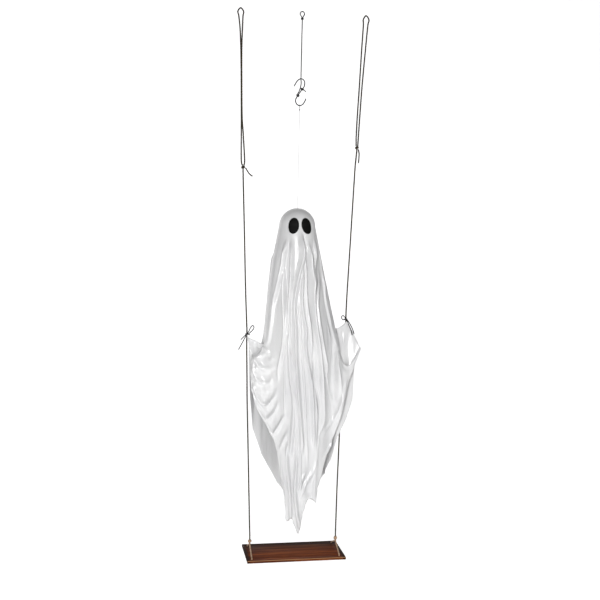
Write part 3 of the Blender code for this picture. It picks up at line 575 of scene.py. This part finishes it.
make_side_rope("left", LEFT_KNOT, LEFT_LOOP_ROUTE, LEFT_ROUTE, LEFT_TAIL,
               make_hand_tie("left", LEFT_TIE, LEFT_TIE_STRANDS))
make_side_rope("right", RIGHT_KNOT, RIGHT_LOOP_ROUTE, RIGHT_ROUTE, RIGHT_TAIL,
               make_hand_tie("right", RIGHT_TIE, RIGHT_TIE_STRANDS))
make_middle_cord()
make_line()


# Hook

def make_hook():
    """Round wire with domed ends: the section shrinks to nothing over the last radius."""
    path = smooth_route(in_metres(HOOK_ROUTE), 0.0007)
    runs = lengths_along(path)
    sides = 24
    build = bmesh.new()
    rings = []
    for i, place in enumerate(path):
        ahead = (path[min(i + 1, len(path) - 1)] - path[max(i - 1, 0)]).normalized()
        side = Vector((0, 1, 0))
        across = ahead.cross(side).normalized()
        round_off = min(runs[i] / (WIRE / 2), (runs[-1] - runs[i]) / (WIRE / 2), 1.0)
        radius = WIRE / 2 * math.sqrt(max(1 - (1 - round_off) ** 2, 0.0025))
        rings.append([build.verts.new(place + (side * math.cos(turn) + across * math.sin(turn)) * radius)
                      for turn in np.arange(sides) * math.tau / sides])
    build.faces.new(rings[0])
    build.faces.new(rings[-1])
    skin(build, rings)
    data = as_mesh("wire_hook", build)
    data.shade_smooth()
    finish_piece(link("wire_hook", data, STEEL), "s_hook")


make_hook()


# Board

def make_board():
    """The stained board: soft planed edges, drilled holes with eased rims."""
    middle = Vector((BOARD_CENTRE_X, 0.0, BOARD_TOP - BOARD_THICKNESS / 2))
    size = Matrix.Diagonal((BOARD_LENGTH, BOARD_DEPTH, BOARD_THICKNESS, 1.0))
    build = bmesh.new()
    bmesh.ops.create_cube(build, size=1.0, matrix=Matrix.Translation(middle) @ size)
    board = link("swing_board", as_mesh("swing_board", build), PINE)
    cutters = []
    for x in (-HOLE_X, HOLE_X):
        for y in (-HOLE_Y, HOLE_Y):
            drill = bmesh.new()
            bmesh.ops.create_cone(drill, cap_ends=True, segments=40, radius1=HOLE / 2, radius2=HOLE / 2,
                                  depth=BOARD_THICKNESS * 3, matrix=Matrix.Translation((x, y, middle.z)))
            cutters.append(link("drill", as_mesh("drill", drill)))
            cut = board.modifiers.new("Hole", "BOOLEAN")
            cut.operation, cut.solver, cut.object = "DIFFERENCE", "EXACT", cutters[-1]
    ease = board.modifiers.new("Ease", "BEVEL")
    ease.width, ease.segments, ease.limit_method, ease.angle_limit = 0.0011, 3, "ANGLE", math.radians(60)
    final = bpy.data.meshes.new_from_object(board.evaluated_get(bpy.context.evaluated_depsgraph_get()))
    for obj in [board, *cutters]:
        bpy.data.objects.remove(obj)
    final.shade_smooth()
    final.set_sharp_from_angle(angle=math.radians(35))
    finish_piece(link("swing_board", final, PINE), "seat_board")


make_board()


# Shroud. The cloth is laid out smooth from the head to its hem, and then its folds are raised on it

CLOTH_ON_HEAD = 0.0516
CLOTH_THICKNESS = 0.0006
CROWN_HOLE = 0.045  # the hole for the line at the crown, in radians from the middle of the head
BEFORE_ROPE, BEFORE_LEFT_TIE = -0.0205, -0.0046  # where the cloth passes in front of the ropes
HOLLOW = 0.0070  # how far the cloth sinks between its folds
COLUMNS, DOME_ROWS, CONE_ROWS, SKIRT_ROWS = 400, 10, 44, 60
PROFILE = (  # height and half width of the cloth from the head down to the shoulders
    (-603, 51.6), (-651, 61.2), (-715, 74), (-766, 83), (-817, 91.5), (-899, 103.5), (-990, 115),
    (-1100, 124))
CONE_DEPTH, CONE_SHIFT, CONE_RUN = 0.90, 0.012, 0.27
SHOULDER = -0.925
HEM_DEPTH = 0.046
HEM = (  # degrees round the head from +X, then x and z of the hem
    (22, 171, -1085), (35, 150, -1155), (45, 124, -1212), (60, 112, -1273), (75, 84, -1365),
    (90, 25, -1440), (120, -48, -1350), (145, -98, -1262), (160, -122, -1185), (170, -132, -1090),
    (175, -135, -990), (180, -145, -908), (185, -136, -970), (195, -131, -1067), (202, -115, -1120),
    (210, -92, -1163), (220, -72, -1206), (230, -60, -1249), (240, -53, -1302), (248, -40, -1359),
    (250, -36, -1400), (252, -33, -1436), (254, -26, -1448), (257, -18, -1444), (259, -14, -1436),
    (262, -10, -1450), (265, -3, -1466), (268, 4, -1482), (271, 10, -1483), (274, 16, -1466),
    (277, 21, -1443), (279, 25, -1420), (283, 31, -1400), (287, 38, -1382), (291, 50, -1388),
    (295, 62, -1401), (298, 66, -1385), (301, 69, -1350), (305, 77, -1320), (320, 103, -1235),
    (332, 130, -1126))
RIGHT_WING = (  # degrees, height where the column leaves the body, then its places out to the hem
    (332, -930, ((112, -60, -985), (127, -48, -1055), (131, -38, -1130))),
    (341, -915, ((116, -50, -970), (136, -42, -1030), (151, -32, -1045))),
    (346, -905, ((113, -46, -950), (124, -43, -992), (144, -38, -1014), (160, -33, -1004),
                 (170, -28, -992))),
    (349, -898, ((108, -42, -930), (116, -41, -957), (125, -39, -984), (146, -35, -1004),
                 (157, -32, -992), (185, -24, -952))),
    (352, -898, ((110, -26, -940), (122, -22, -985), (146, -19, -1018), (163, -19, -990),
                 (182, -19, -945))),
    (355.5, -896, ((112, -16, -930), (126, -13, -965), (146, -12, -980), (160, -13, -950),
                   (170, -13, -925))),
    (358, -895, ((113, -12, -910), (130, -10, -918), (146, -9, -912), (156, -9, -900))),
    (360, -893, ((116, -10, -892), (130, -8, -885), (142.5, -5, -875))),
    (363, -900, ((116, -6, -905), (140, -6.5, -908), (164, -9, -905))),
    (367, -915, ((118, -4, -935), (145, -6.5, -950), (181, -11, -948))),
    (372, -935, ((120, 2, -965), (145, -6.5, -995), (170, -9, -1010))))

# Folds drawn on the front of the cloth: height, width to the left and to the right of the crest, then x
# and z of points down the crest
LONG_FOLDS = (
    (6, 9, 10, ((-66, -690), (-74, -731), (-85, -810), (-95, -904))),
    (17, 11, 9, ((-40, -635), (-57, -726), (-78, -812), (-85, -884), (-94, -945))),
    (12, 8, 7, ((-49, -706), (-54, -773), (-51, -870), (-53, -938), (-62, -1002), (-65, -1050))),
    (15, 9, 10, ((-28, -635), (-31, -736), (-37, -836), (-35, -937), (-29, -1019), (-19, -1085),
                 (-17, -1144), (-24, -1268))),
    (19, 14, 7, ((-3, -618), (4, -685), (-9, -745), (-20, -819), (-16, -902), (-14, -968), (-3, -1077),
                 (15, -1256))),
    (13, 7, 6, ((6, -711), (0, -812), (12, -895), (12, -944), (36, -1070), (48, -1239))),
    (17, 6, 12, ((19, -644), (30, -752), (37, -859), (53, -954), (61, -1020), (72, -1136), (66, -1203))),
    (12, 7, 8, ((40, -630), (42, -691), (35, -745), (37, -805))),
    (13, 8, 9, ((61, -725), (46, -812), (57, -896), (75, -986), (86, -1030))),
    (9, 7, 7, ((50, -640), (72, -736), (84, -831), (112, -938))),
    (-10, 5, 6, ((11, -658), (20, -718), (23, -802), (34, -919), (40, -1019), (58, -1127), (60, -1247))),
    (-9, 5, 6, ((-45, -733), (-44, -820), (-38, -903), (-23, -994))))
FINE_FOLDS = (  # narrow folds that run between the long ones
    (6, 5, 5, ((-43, -790), (-45, -900), (-46, -1000), (-42, -1150))),
    (6, 5, 5, ((-23, -800), (-27, -900), (-20, -1020), (-8, -1150), (-6, -1300))),
    (5, 5, 4, ((-9, -800), (-2, -920), (14, -1070), (34, -1290))),
    (6, 4, 5, ((21, -830), (36, -960), (59, -1180))),
    (6, 5, 5, ((42, -830), (62, -960), (88, -1160))),
    (5, 4, 7, ((70, -960), (86, -1030), (103, -1094), (114, -1150))),
    (5, 5, 5, ((-50, -650), (-64, -730), (-80, -815))),
    (5, 5, 5, ((56, -660), (70, -740), (90, -830), (104, -900))),
    (6, 5, 5, ((2, -1120), (6, -1200), (8, -1290), (12, -1380))),
    (6, 5, 5, ((-30, -1170), (-30, -1260), (-24, -1340))))
LEFT_SWAGS = (
    (9, 7, 8, ((-133, -929), (-108, -941), (-91, -958), (-82, -983))),
    (9, 8, 9, ((-138, -937), (-123, -982), (-101, -1010), (-81, -1008))),
    (8, 7, 9, ((-136, -993), (-118, -1034), (-94, -1053), (-73, -1035))),
    (9, 7, 8, ((-131, -1047), (-111, -1094), (-91, -1116), (-73, -1090), (-65, -1058))),
    (9, 7, 8, ((-113, -1110), (-92, -1156), (-70, -1132), (-59, -1088))),
    (11, 7, 9, ((-87, -1168), (-72, -1196), (-57, -1170), (-44, -1142), (-27, -1147))),
    (9, 7, 8, ((-62, -1245), (-50, -1226), (-37, -1197), (-27, -1165))),
    (-4, 6, 6, ((-105, -1065), (-89, -1084), (-75, -1067))),
    (5, 5, 7, ((-133, -1071), (-114, -1122), (-90, -1164), (-71, -1206), (-60, -1246))))
TIP_FOLDS = (
    (12, 7, 7, ((64, -1260), (47, -1303), (24, -1342), (10, -1389))),
    (11, 6, 6, ((37, -1286), (15, -1325), (-1, -1373))),
    (8, 6, 6, ((-50, -1258), (-46, -1303), (-28, -1382))))
HEM_FOLDS = (  # folds that run out at the tips
    (15, 8, 7, ((-36, -1205), (-29, -1285), (-20, -1365), (-16, -1434))),
    (16, 7, 9, ((-1, -1244), (-7, -1333), (-2, -1401), (9, -1462))),
    (9, 7, 7, ((56, -1287), (53, -1336), (52, -1377))))
POCKET_FOLDS = (  # on the inside of the back wall, seen through the open right hand
    (-7, 7, 7, ((141, -885), (138, -910), (137, -934))),
    (-7, 6, 6, ((122, -934), (137, -936), (152, -943), (167, -950))),
    (6, 6, 8, ((131, -905), (127, -930), (124, -955))))
RIGHT_PANEL_FOLDS = (
    (7, 10, 9, ((67, -1208), (101, -1170), (126, -1112), (144, -1030))),
    (8, 5, 8, ((80, -1283), (119, -1199), (150, -1086), (160, -1047))))
BACK_FOLDS = 14
BACK_SEED = 7


def eased(value):
    """A soft step: 0 up to 0, and 1 from 1 on."""
    value = np.clip(value, 0, 1)
    return value * value * (3 - 2 * value)


def near(degrees, middle, spread):
    """1 at one angle round the head, fading to nothing on both sides of it."""
    away = (degrees - middle + 180) % 360 - 180
    return np.exp(-(away / spread) ** 2)


def column_degrees():
    """Where the columns of the cloth's mesh stand round the head: closest at the hands."""
    fine = np.linspace(0, 360, 3601)
    wanted = 1 + 2.6 * near(fine, 352, 13) + 0.8 * near(fine, 184, 14) + 0.35 * near(fine, 270, 60)
    run = np.concatenate([[0], np.cumsum((wanted[1:] + wanted[:-1]) / 2)])
    return np.interp(np.arange(COLUMNS) / COLUMNS, run / run[-1], fine)


DEGREES = column_degrees()


def on_cone(z, degrees):
    """Places on the smooth dome and cone at given heights and angles."""
    angle = np.radians(degrees)
    drop = np.maximum(HEAD_CENTRE.z - z, 0)
    rise = np.maximum(z - HEAD_CENTRE.z, 0)
    heights, widths = np.array(PROFILE).T / 1000
    wide = np.interp(-z, -heights, widths)
    radius = np.where(rise > 0, np.sqrt(np.maximum(CLOTH_ON_HEAD**2 - rise**2, 0)), wide)
    depth = 1 + (CONE_DEPTH - 1) * eased(drop / CONE_RUN)
    middle = HEAD_CENTRE.x + CONE_SHIFT * (drop / CONE_RUN) ** 2
    return np.stack([middle + radius * np.cos(angle), radius * depth * np.sin(angle), z + 0 * angle], -1)


def lofted(at, guides, where):
    """Columns between guide columns, on smooth curves that don't overshoot the guides."""
    at = np.array(at)
    gap = np.diff(at)[:, None, None]
    lean = np.diff(guides, axis=0) / gap
    slope = np.zeros_like(guides)
    slope[0], slope[-1] = lean[0], lean[-1]
    before, after = lean[:-1], lean[1:]
    same_way = before * after > 0
    weight_a, weight_b = 2 * gap[1:] + gap[:-1], gap[1:] + 2 * gap[:-1]
    mean = (weight_a + weight_b) / (weight_a / np.where(same_way, before, 1)
                                    + weight_b / np.where(same_way, after, 1))
    slope[1:-1] = np.where(same_way, mean, 0)
    i = np.clip(np.searchsorted(at, where, side="right") - 1, 0, len(at) - 2)
    width = (at[i + 1] - at[i])[:, None, None]
    t = ((where - at[i]) / (at[i + 1] - at[i]))[:, None, None]
    return hermite(guides[i], guides[i + 1], slope[i] * width, slope[i + 1] * width, t)


def skirt_rows():
    """The smooth cloth from the shoulders to the hem, before the right wing is set in."""
    angle = np.radians(DEGREES)
    foot = SHOULDER - 0.014 * near(DEGREES, 180, 20)
    start = on_cone(foot, DEGREES)
    at, x, z = np.array(HEM).T
    hem_x, hem_z = np.interp(DEGREES, at, x / 1000), np.interp(DEGREES, at, z / 1000)
    hem_y = HEM_DEPTH * np.sign(np.sin(angle)) * np.abs(np.sin(angle)) ** 1.15
    length = np.hypot(hem_x - start[:, 0], hem_z - foot)
    hand = near(DEGREES, 180, 24) ** 0.5
    rows = []
    for share in np.linspace(0, 1, SKIRT_ROWS + 1):
        out = (1 - hand) * share + hand * eased(share * length / 0.055)
        x = start[:, 0] + (hem_x - start[:, 0]) * out
        y = start[:, 1] + (hem_y - start[:, 1]) * share**0.8
        at_rope = 0.78 * eased((x - 0.080) / 0.046) * eased(share * length / 0.0275)
        y = y * (1 - at_rope) + BEFORE_ROPE * at_rope
        at_tie = eased((-0.132 - x) / 0.007) * near(DEGREES, 180, 8)
        y = y * (1 - 0.8 * at_tie) + BEFORE_LEFT_TIE * at_tie
        rows.append(np.stack([x, y, foot + (hem_z - foot) * share], 1))
    return np.array(rows)


def set_right_wing(skirt):
    """Lays the right wing out between its guides: front panel, rolled rim, pocket and back wall."""
    first, last = np.searchsorted(DEGREES, 323.0), np.searchsorted(DEGREES, 24.0)
    at, guides = [DEGREES[first]], [skirt[:, first]]
    for degrees, foot, places in RIGHT_WING:
        start = on_cone(np.array(foot / 1000), np.array(degrees))
        route = even_points([Vector(start), *[Vector(p) for p in in_metres(places)]], SKIRT_ROWS + 1)
        at.append(degrees)
        guides.append(np.array(route))
    at.append(DEGREES[last] + 360)
    guides.append(skirt[:, last])
    columns = np.nonzero((DEGREES > DEGREES[first]) | (DEGREES < DEGREES[last]))[0]
    where = np.where(DEGREES[columns] > 180, DEGREES[columns], DEGREES[columns] + 360)
    skirt[:, columns] = lofted(at, np.array(guides), where).transpose(1, 0, 2)


def smooth_cloth():
    """The whole cloth without folds, as rows of places from the hole at the crown to the hem."""
    skirt = skirt_rows()
    set_right_wing(skirt)
    foot = skirt[0, :, 2]
    rows = []
    for i in range(DOME_ROWS):
        polar = CROWN_HOLE + (math.pi / 2 - CROWN_HOLE) * i / DOME_ROWS
        rows.append(on_cone(np.full(COLUMNS, HEAD_CENTRE.z + CLOTH_ON_HEAD * math.cos(polar)), DEGREES))
    for i in range(CONE_ROWS):
        rows.append(on_cone(HEAD_CENTRE.z + (foot - HEAD_CENTRE.z) * i / CONE_ROWS, DEGREES))
    cloth = np.concatenate([np.array(rows), skirt])
    count = np.arange(len(cloth))
    # The shoulder and the body are eased down each column, and the skirt a little round each row
    down = eased((count - DOME_ROWS - 6) / 10) * eased((len(cloth) - 1 - count) / 6)
    wing = np.where((DEGREES > 318) | (DEGREES < 26), 0.35, 1.0)
    amount = 0.8 * down[:, None, None] * wing[None, :, None]
    for _ in range(60):
        cloth[1:-1] += ((cloth[:-2] + cloth[2:]) / 2 - cloth[1:-1]) * amount[1:-1]
    amount = 0.5 * eased((count - DOME_ROWS - CONE_ROWS + 6) / 8) * eased((len(cloth) - 1 - count) / 12)
    for _ in range(2):
        cloth += ((np.roll(cloth, 1, 1) + np.roll(cloth, -1, 1)) / 2 - cloth) * amount[:, None, None]
    return cloth


def cloth_normals(cloth):
    """The outward direction at each point of the cloth."""
    down = np.gradient(cloth, axis=0)
    around = np.roll(cloth, -1, 1) - np.roll(cloth, 1, 1)
    normal = np.cross(down, around)
    return normal / np.maximum(np.linalg.norm(normal, axis=2, keepdims=True), 1e-12)


def laid_on_front(points, cloth):
    """A crest drawn in (x, z) millimetres, laid on the front of the cloth."""
    line = smooth_route(in_metres(points), 0.004)
    front = cloth.reshape(-1, 3)
    front = front[front[:, 1] < 0.004]
    places = []
    for place in line:
        away = np.hypot(front[:, 0] - place.x, front[:, 2] - place.z)
        close = away < max(away.min() + 0.0015, 0.004)
        places.append((place.x, front[close, 1].min(), place.z))
    return evened(np.array(places))


def evened(line):
    """A line with its kinks smoothed out."""
    for _ in range(3):
        line[1:-1] = (line[:-2] + line[1:-1] + line[2:]) / 3
    return line


def fold_height(cloth, normal, line, height, left, right, on_front, fade_in=0.05, fade_out=0.05):
    """How far a fold lifts each point of the cloth: a crest along its line, with hollow flanks."""
    places, facing = cloth.reshape(-1, 3), normal.reshape(-1, 3)
    reach = max(left, right)
    inside = np.all((places > line.min(0) - reach) & (places < line.max(0) + reach), axis=1)
    same_side = facing[:, 1] < 0.25 if on_front else facing[:, 1] > -0.25
    picked = np.nonzero(inside & same_side)[0]
    away, along, side = np.full(len(picked), 1e9), np.zeros(len(picked)), np.zeros(len(picked))
    run = 0.0
    for a, b in zip(line, line[1:]):
        step = np.linalg.norm(b - a)
        ahead = (b - a) / step
        share = np.clip((places[picked] - a) @ ahead / step, 0, 1)
        offset = places[picked] - a - share[:, None] * (b - a)
        distance = np.linalg.norm(offset, axis=1)
        closer = distance < away
        away[closer] = distance[closer]
        along[closer] = run + share[closer] * step
        side[closer] = np.einsum("ij,ij->i", offset, np.cross(facing[picked], ahead))[closer]
        run += step
    crest = 0.10
    spread = np.sqrt((away / np.where(side > 0, right, left)) ** 2 + crest**2) - crest
    shape = np.maximum(1 - spread / (math.sqrt(1 + crest**2) - crest), 0) ** 1.5
    shape *= eased(along / fade_in) if fade_in else 1
    shape *= eased((run - along) / fade_out) if fade_out else 1
    lift = np.zeros(len(places))
    lift[picked] = height * shape
    return lift.reshape(cloth.shape[:2])


def back_fold_lifts(cloth, normal):
    """Folds down the back, which no photograph shows: a plain irregular rule spaces them."""
    chance = np.random.default_rng(BACK_SEED)
    lift = np.zeros(cloth.shape[:2])
    for i in range(BACK_FOLDS):
        middle = 4 + 172 * (i + 0.5) / BACK_FOLDS + chance.uniform(-3, 3)
        lean = chance.uniform(-6, 6)
        height, width = chance.uniform(0.014, 0.021), chance.uniform(0.009, 0.012)
        top = DOME_ROWS + int(chance.uniform(2, 8))
        by_a_hand = middle < 64 or middle > 114
        line = []
        for row in range(top, len(cloth) - (46 if by_a_hand else 0), 2):
            degrees = middle + lean * math.sin(2.2 * row / len(cloth) + i)
            line.append(cloth[row, np.argmin(np.abs(DEGREES - degrees))])
        lift += fold_height(cloth, normal, evened(np.array(line)), height, width,
                            width * chance.uniform(0.7, 1.2), False, 0.06, 0.12 if by_a_hand else 0)
    return lift


def crumples(cloth, drop):
    """Soft drag lines down the body, and loose crumples at the left hand and the tips."""
    soft, loose = np.empty(cloth.shape[:2]), np.empty(cloth.shape[:2])
    for i, row in enumerate(cloth):
        for j, (x, y, z) in enumerate(row):
            soft[i, j] = noise.noise((70 * x, 70 * y, 6 * z + 3))
            small = noise.noise((130 * x, 130 * y, 130 * z))
            loose[i, j] = noise.noise((55 * x + 9, 55 * y, 55 * z)) + 0.35 * small
    at_left = eased((-0.055 - cloth[:, :, 0]) / 0.03) * eased((drop - 0.33) / 0.05) * (cloth[:, :, 1] < 0)
    at_tips = eased((drop - 0.70) / 0.08)
    return 0.0015 * soft * eased((drop - 0.03) / 0.12) + 0.0036 * loose * np.clip(at_left + at_tips, 0, 1)


def draped_cloth():
    """The smooth cloth with all its folds raised along its own normals."""
    cloth = smooth_cloth()
    normal = cloth_normals(cloth)
    drop = np.maximum(HEAD_CENTRE.z - cloth[:, :, 2], 0)
    wing = np.maximum(eased((cloth[:, :, 0] - 0.095) / 0.02),
                      eased((-0.100 - cloth[:, :, 0]) / 0.02) * eased((drop - 0.30) / 0.03))
    lift = -HOLLOW * eased((drop - 0.02) / 0.14) * (1 - 0.85 * wing)
    for folds in (LONG_FOLDS, FINE_FOLDS, LEFT_SWAGS, TIP_FOLDS, RIGHT_PANEL_FOLDS, HEM_FOLDS,
                  POCKET_FOLDS):
        fade_out = 0 if folds in (HEM_FOLDS, POCKET_FOLDS) else 0.05
        for *sizes, points in folds:
            lift += fold_height(cloth, normal, laid_on_front(points, cloth), *np.array(sizes) / 1000,
                                folds is not POCKET_FOLDS, fade_out=fade_out)
    lift += back_fold_lifts(cloth, normal) + crumples(cloth, drop)
    # The outline seen from the front stays as smooth as the photograph shows it
    edge_on = eased((np.abs(normal[:, :, 0]) - 0.74) / 0.22)
    return cloth + normal * (lift * (1 - 0.9 * edge_on))[:, :, None]


def make_shroud():
    """The satin sheet as one double-sided cloth, with its threads laid out flat in the map."""
    rows = draped_cloth()
    index = np.arange(len(rows) * COLUMNS).reshape(len(rows), COLUMNS)
    after = np.roll(index, -1, axis=1)
    faces = np.stack([index[:-1], index[1:], after[1:], after[:-1]], -1).reshape(-1, 4)
    data = bpy.data.meshes.new("satin_shroud")
    data.from_pydata(rows.reshape(-1, 3).tolist(), [], faces.tolist())
    steps = np.linalg.norm(np.diff(rows, axis=0), axis=2)
    run = np.concatenate([np.zeros((1, COLUMNS)), np.cumsum(steps, axis=0)])
    turn = np.radians(DEGREES)
    flat = np.stack([run * np.cos(turn), run * np.sin(turn)], -1).reshape(-1, 2)
    uv = data.uv_layers.new(name="flat")
    corner = np.empty(len(data.loops), dtype=np.int32)
    data.loops.foreach_get("vertex_index", corner)
    uv.data.foreach_set("uv", flat[corner].ravel())
    data.shade_smooth()
    shroud = link("satin_shroud", data, SATIN)
    wall = shroud.modifiers.new("Cloth", "SOLIDIFY")
    wall.thickness, wall.offset = CLOTH_THICKNESS, 0.0
    finish_piece(shroud, "shroud")
    return shroud


shroud = make_shroud()


# Eyes

def place_on_cloth(cloth, side, share, turn):
    """The place on the cloth under a point of an eye's oval, and the way out from the head there."""
    sign = -1 if side == "left" else 1
    tilt = math.radians(EYE_TILT[side]) * sign
    a, b = share * EYE_WIDTH / 2 * math.cos(turn), share * EYE_HEIGHT / 2 * math.sin(turn)
    across = a * math.cos(tilt) - b * math.sin(tilt)
    rise = EYE_LIFT + b * math.cos(tilt) + a * math.sin(tilt)
    angle = math.radians(270 + sign * EYE_AZIMUTH) + across / EYE_ON
    level = Vector((math.cos(angle), math.sin(angle), 0.0))
    out = (level + Vector((0.0, 0.0, max(rise, 0.0) / EYE_ON))).normalized()
    start = HEAD_CENTRE + Vector((0.0, 0.0, rise))
    start += level * EYE_ON + out * 0.1 if rise > 0 else out * 0.2
    return cloth.ray_cast(start, -out, 0.3)[0], out


def make_eye(side):
    """A felt oval laid on the cloth: the cloth's own surface gives its back, and its front is crowned."""
    cloth = BVHTree.FromObject(shroud, bpy.context.evaluated_depsgraph_get())
    rings, segments = 10, 56
    build = bmesh.new()
    layers = []
    for front in (True, False):
        hit, out = place_on_cloth(cloth, side, 0.0, 0.0)
        rows = [[build.verts.new(hit + out * (FELT_CLEAR + (FELT if front else 0.0)))] * segments]
        for share in np.arange(1, rings + 1) / rings:
            edge = max(share - 0.9, 0.0) / 0.1
            crown = FELT * (0.55 + 0.45 * math.sqrt(1 - (edge * 0.95) ** 2)) if front else 0.0
            row = []
            for j in range(segments):
                hit, out = place_on_cloth(cloth, side, share, math.tau * j / segments)
                row.append(build.verts.new(hit + out * (FELT_CLEAR + crown)))
            rows.append(row)
        layers.append(rows)
    skin(build, layers[0] + layers[1][::-1])
    data = as_mesh(f"felt_eye_{side}", build)
    data.shade_smooth()
    finish_piece(link(f"felt_eye_{side}", data, BLACK_FELT), f"eye_{side}")


make_eye("left")
make_eye("right")


# The foam ball keeps its CAD shape, because the cloth hides it

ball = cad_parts["head_ball"]
ball.data.materials.clear()
ball.data.materials.append(FOAM)


# Stage

def make_stage():
    """A sweep of white paper, lit evenly from behind: floor, bend and wall in one."""
    build = bmesh.new()
    rows = []
    for y, z in ((-5.0, -2.05), (2.2, -2.05), (2.9, -1.87), (3.4, -1.4), (3.6, -0.65), (3.6, 3.45)):
        rows.append([build.verts.new((x, y, z)) for x in (-3.2, 3.2)])
    for low, high in zip(rows, rows[1:]):
        build.faces.new((low[0], low[1], high[1], high[0]))
    data = as_mesh("sweep", build)
    data.shade_smooth()
    paper = new_material("pale_backlit_paper", Base_Color=linear("#FAFAFA"), Roughness=0.9,
                         Emission_Color=linear("#FFFFFF"), Emission_Strength=0.66)[0]
    sweep = link("sweep", data, paper)
    bend = sweep.modifiers.new("Bend", "SUBSURF")
    bend.levels = bend.render_levels = 3


def soft_light(name, place, aim, size, power):
    """A softbox: an upright rectangle of light, aimed at a place."""
    data = bpy.data.lights.new(name, "AREA")
    data.shape = "RECTANGLE"
    data.size, data.size_y = size
    data.energy = power
    turn = (Vector(aim) - Vector(place)).to_track_quat("-Z", "Y").to_matrix().to_4x4()
    link(name, data).matrix_world = Matrix.Translation(place) @ turn


def make_world():
    """Dim soft light from all round; the camera sees the same pale surroundings past the sweep."""
    world = bpy.data.worlds.new("studio")
    world.use_nodes = True
    tree = world.node_tree
    dim = tree.nodes["Background"]
    plug(dim, Color=linear("#FFFFFF"), Strength=0.16)
    pale = add(tree, "ShaderNodeBackground", Color=linear("#FFFFFF"), Strength=1.0)
    seen = add(tree, "ShaderNodeLightPath").outputs["Is Camera Ray"]
    both = add(tree, "ShaderNodeMixShader", in_0=seen, in_1=dim, in_2=pale)
    plug(tree.nodes["World Output"], Surface=both)
    bpy.context.scene.world = world


make_stage()
make_world()
soft_light("key", (-0.95, -2.6, -0.55), (0.0, 0.0, -0.95), (0.35, 1.3), 46)
soft_light("fill", (1.5, -2.1, -0.3), (0.0, 0.0, -0.9), (0.25, 1.3), 11)
bpy.context.scene.view_settings.view_transform = "Standard"

bpy.context.view_layer.update()
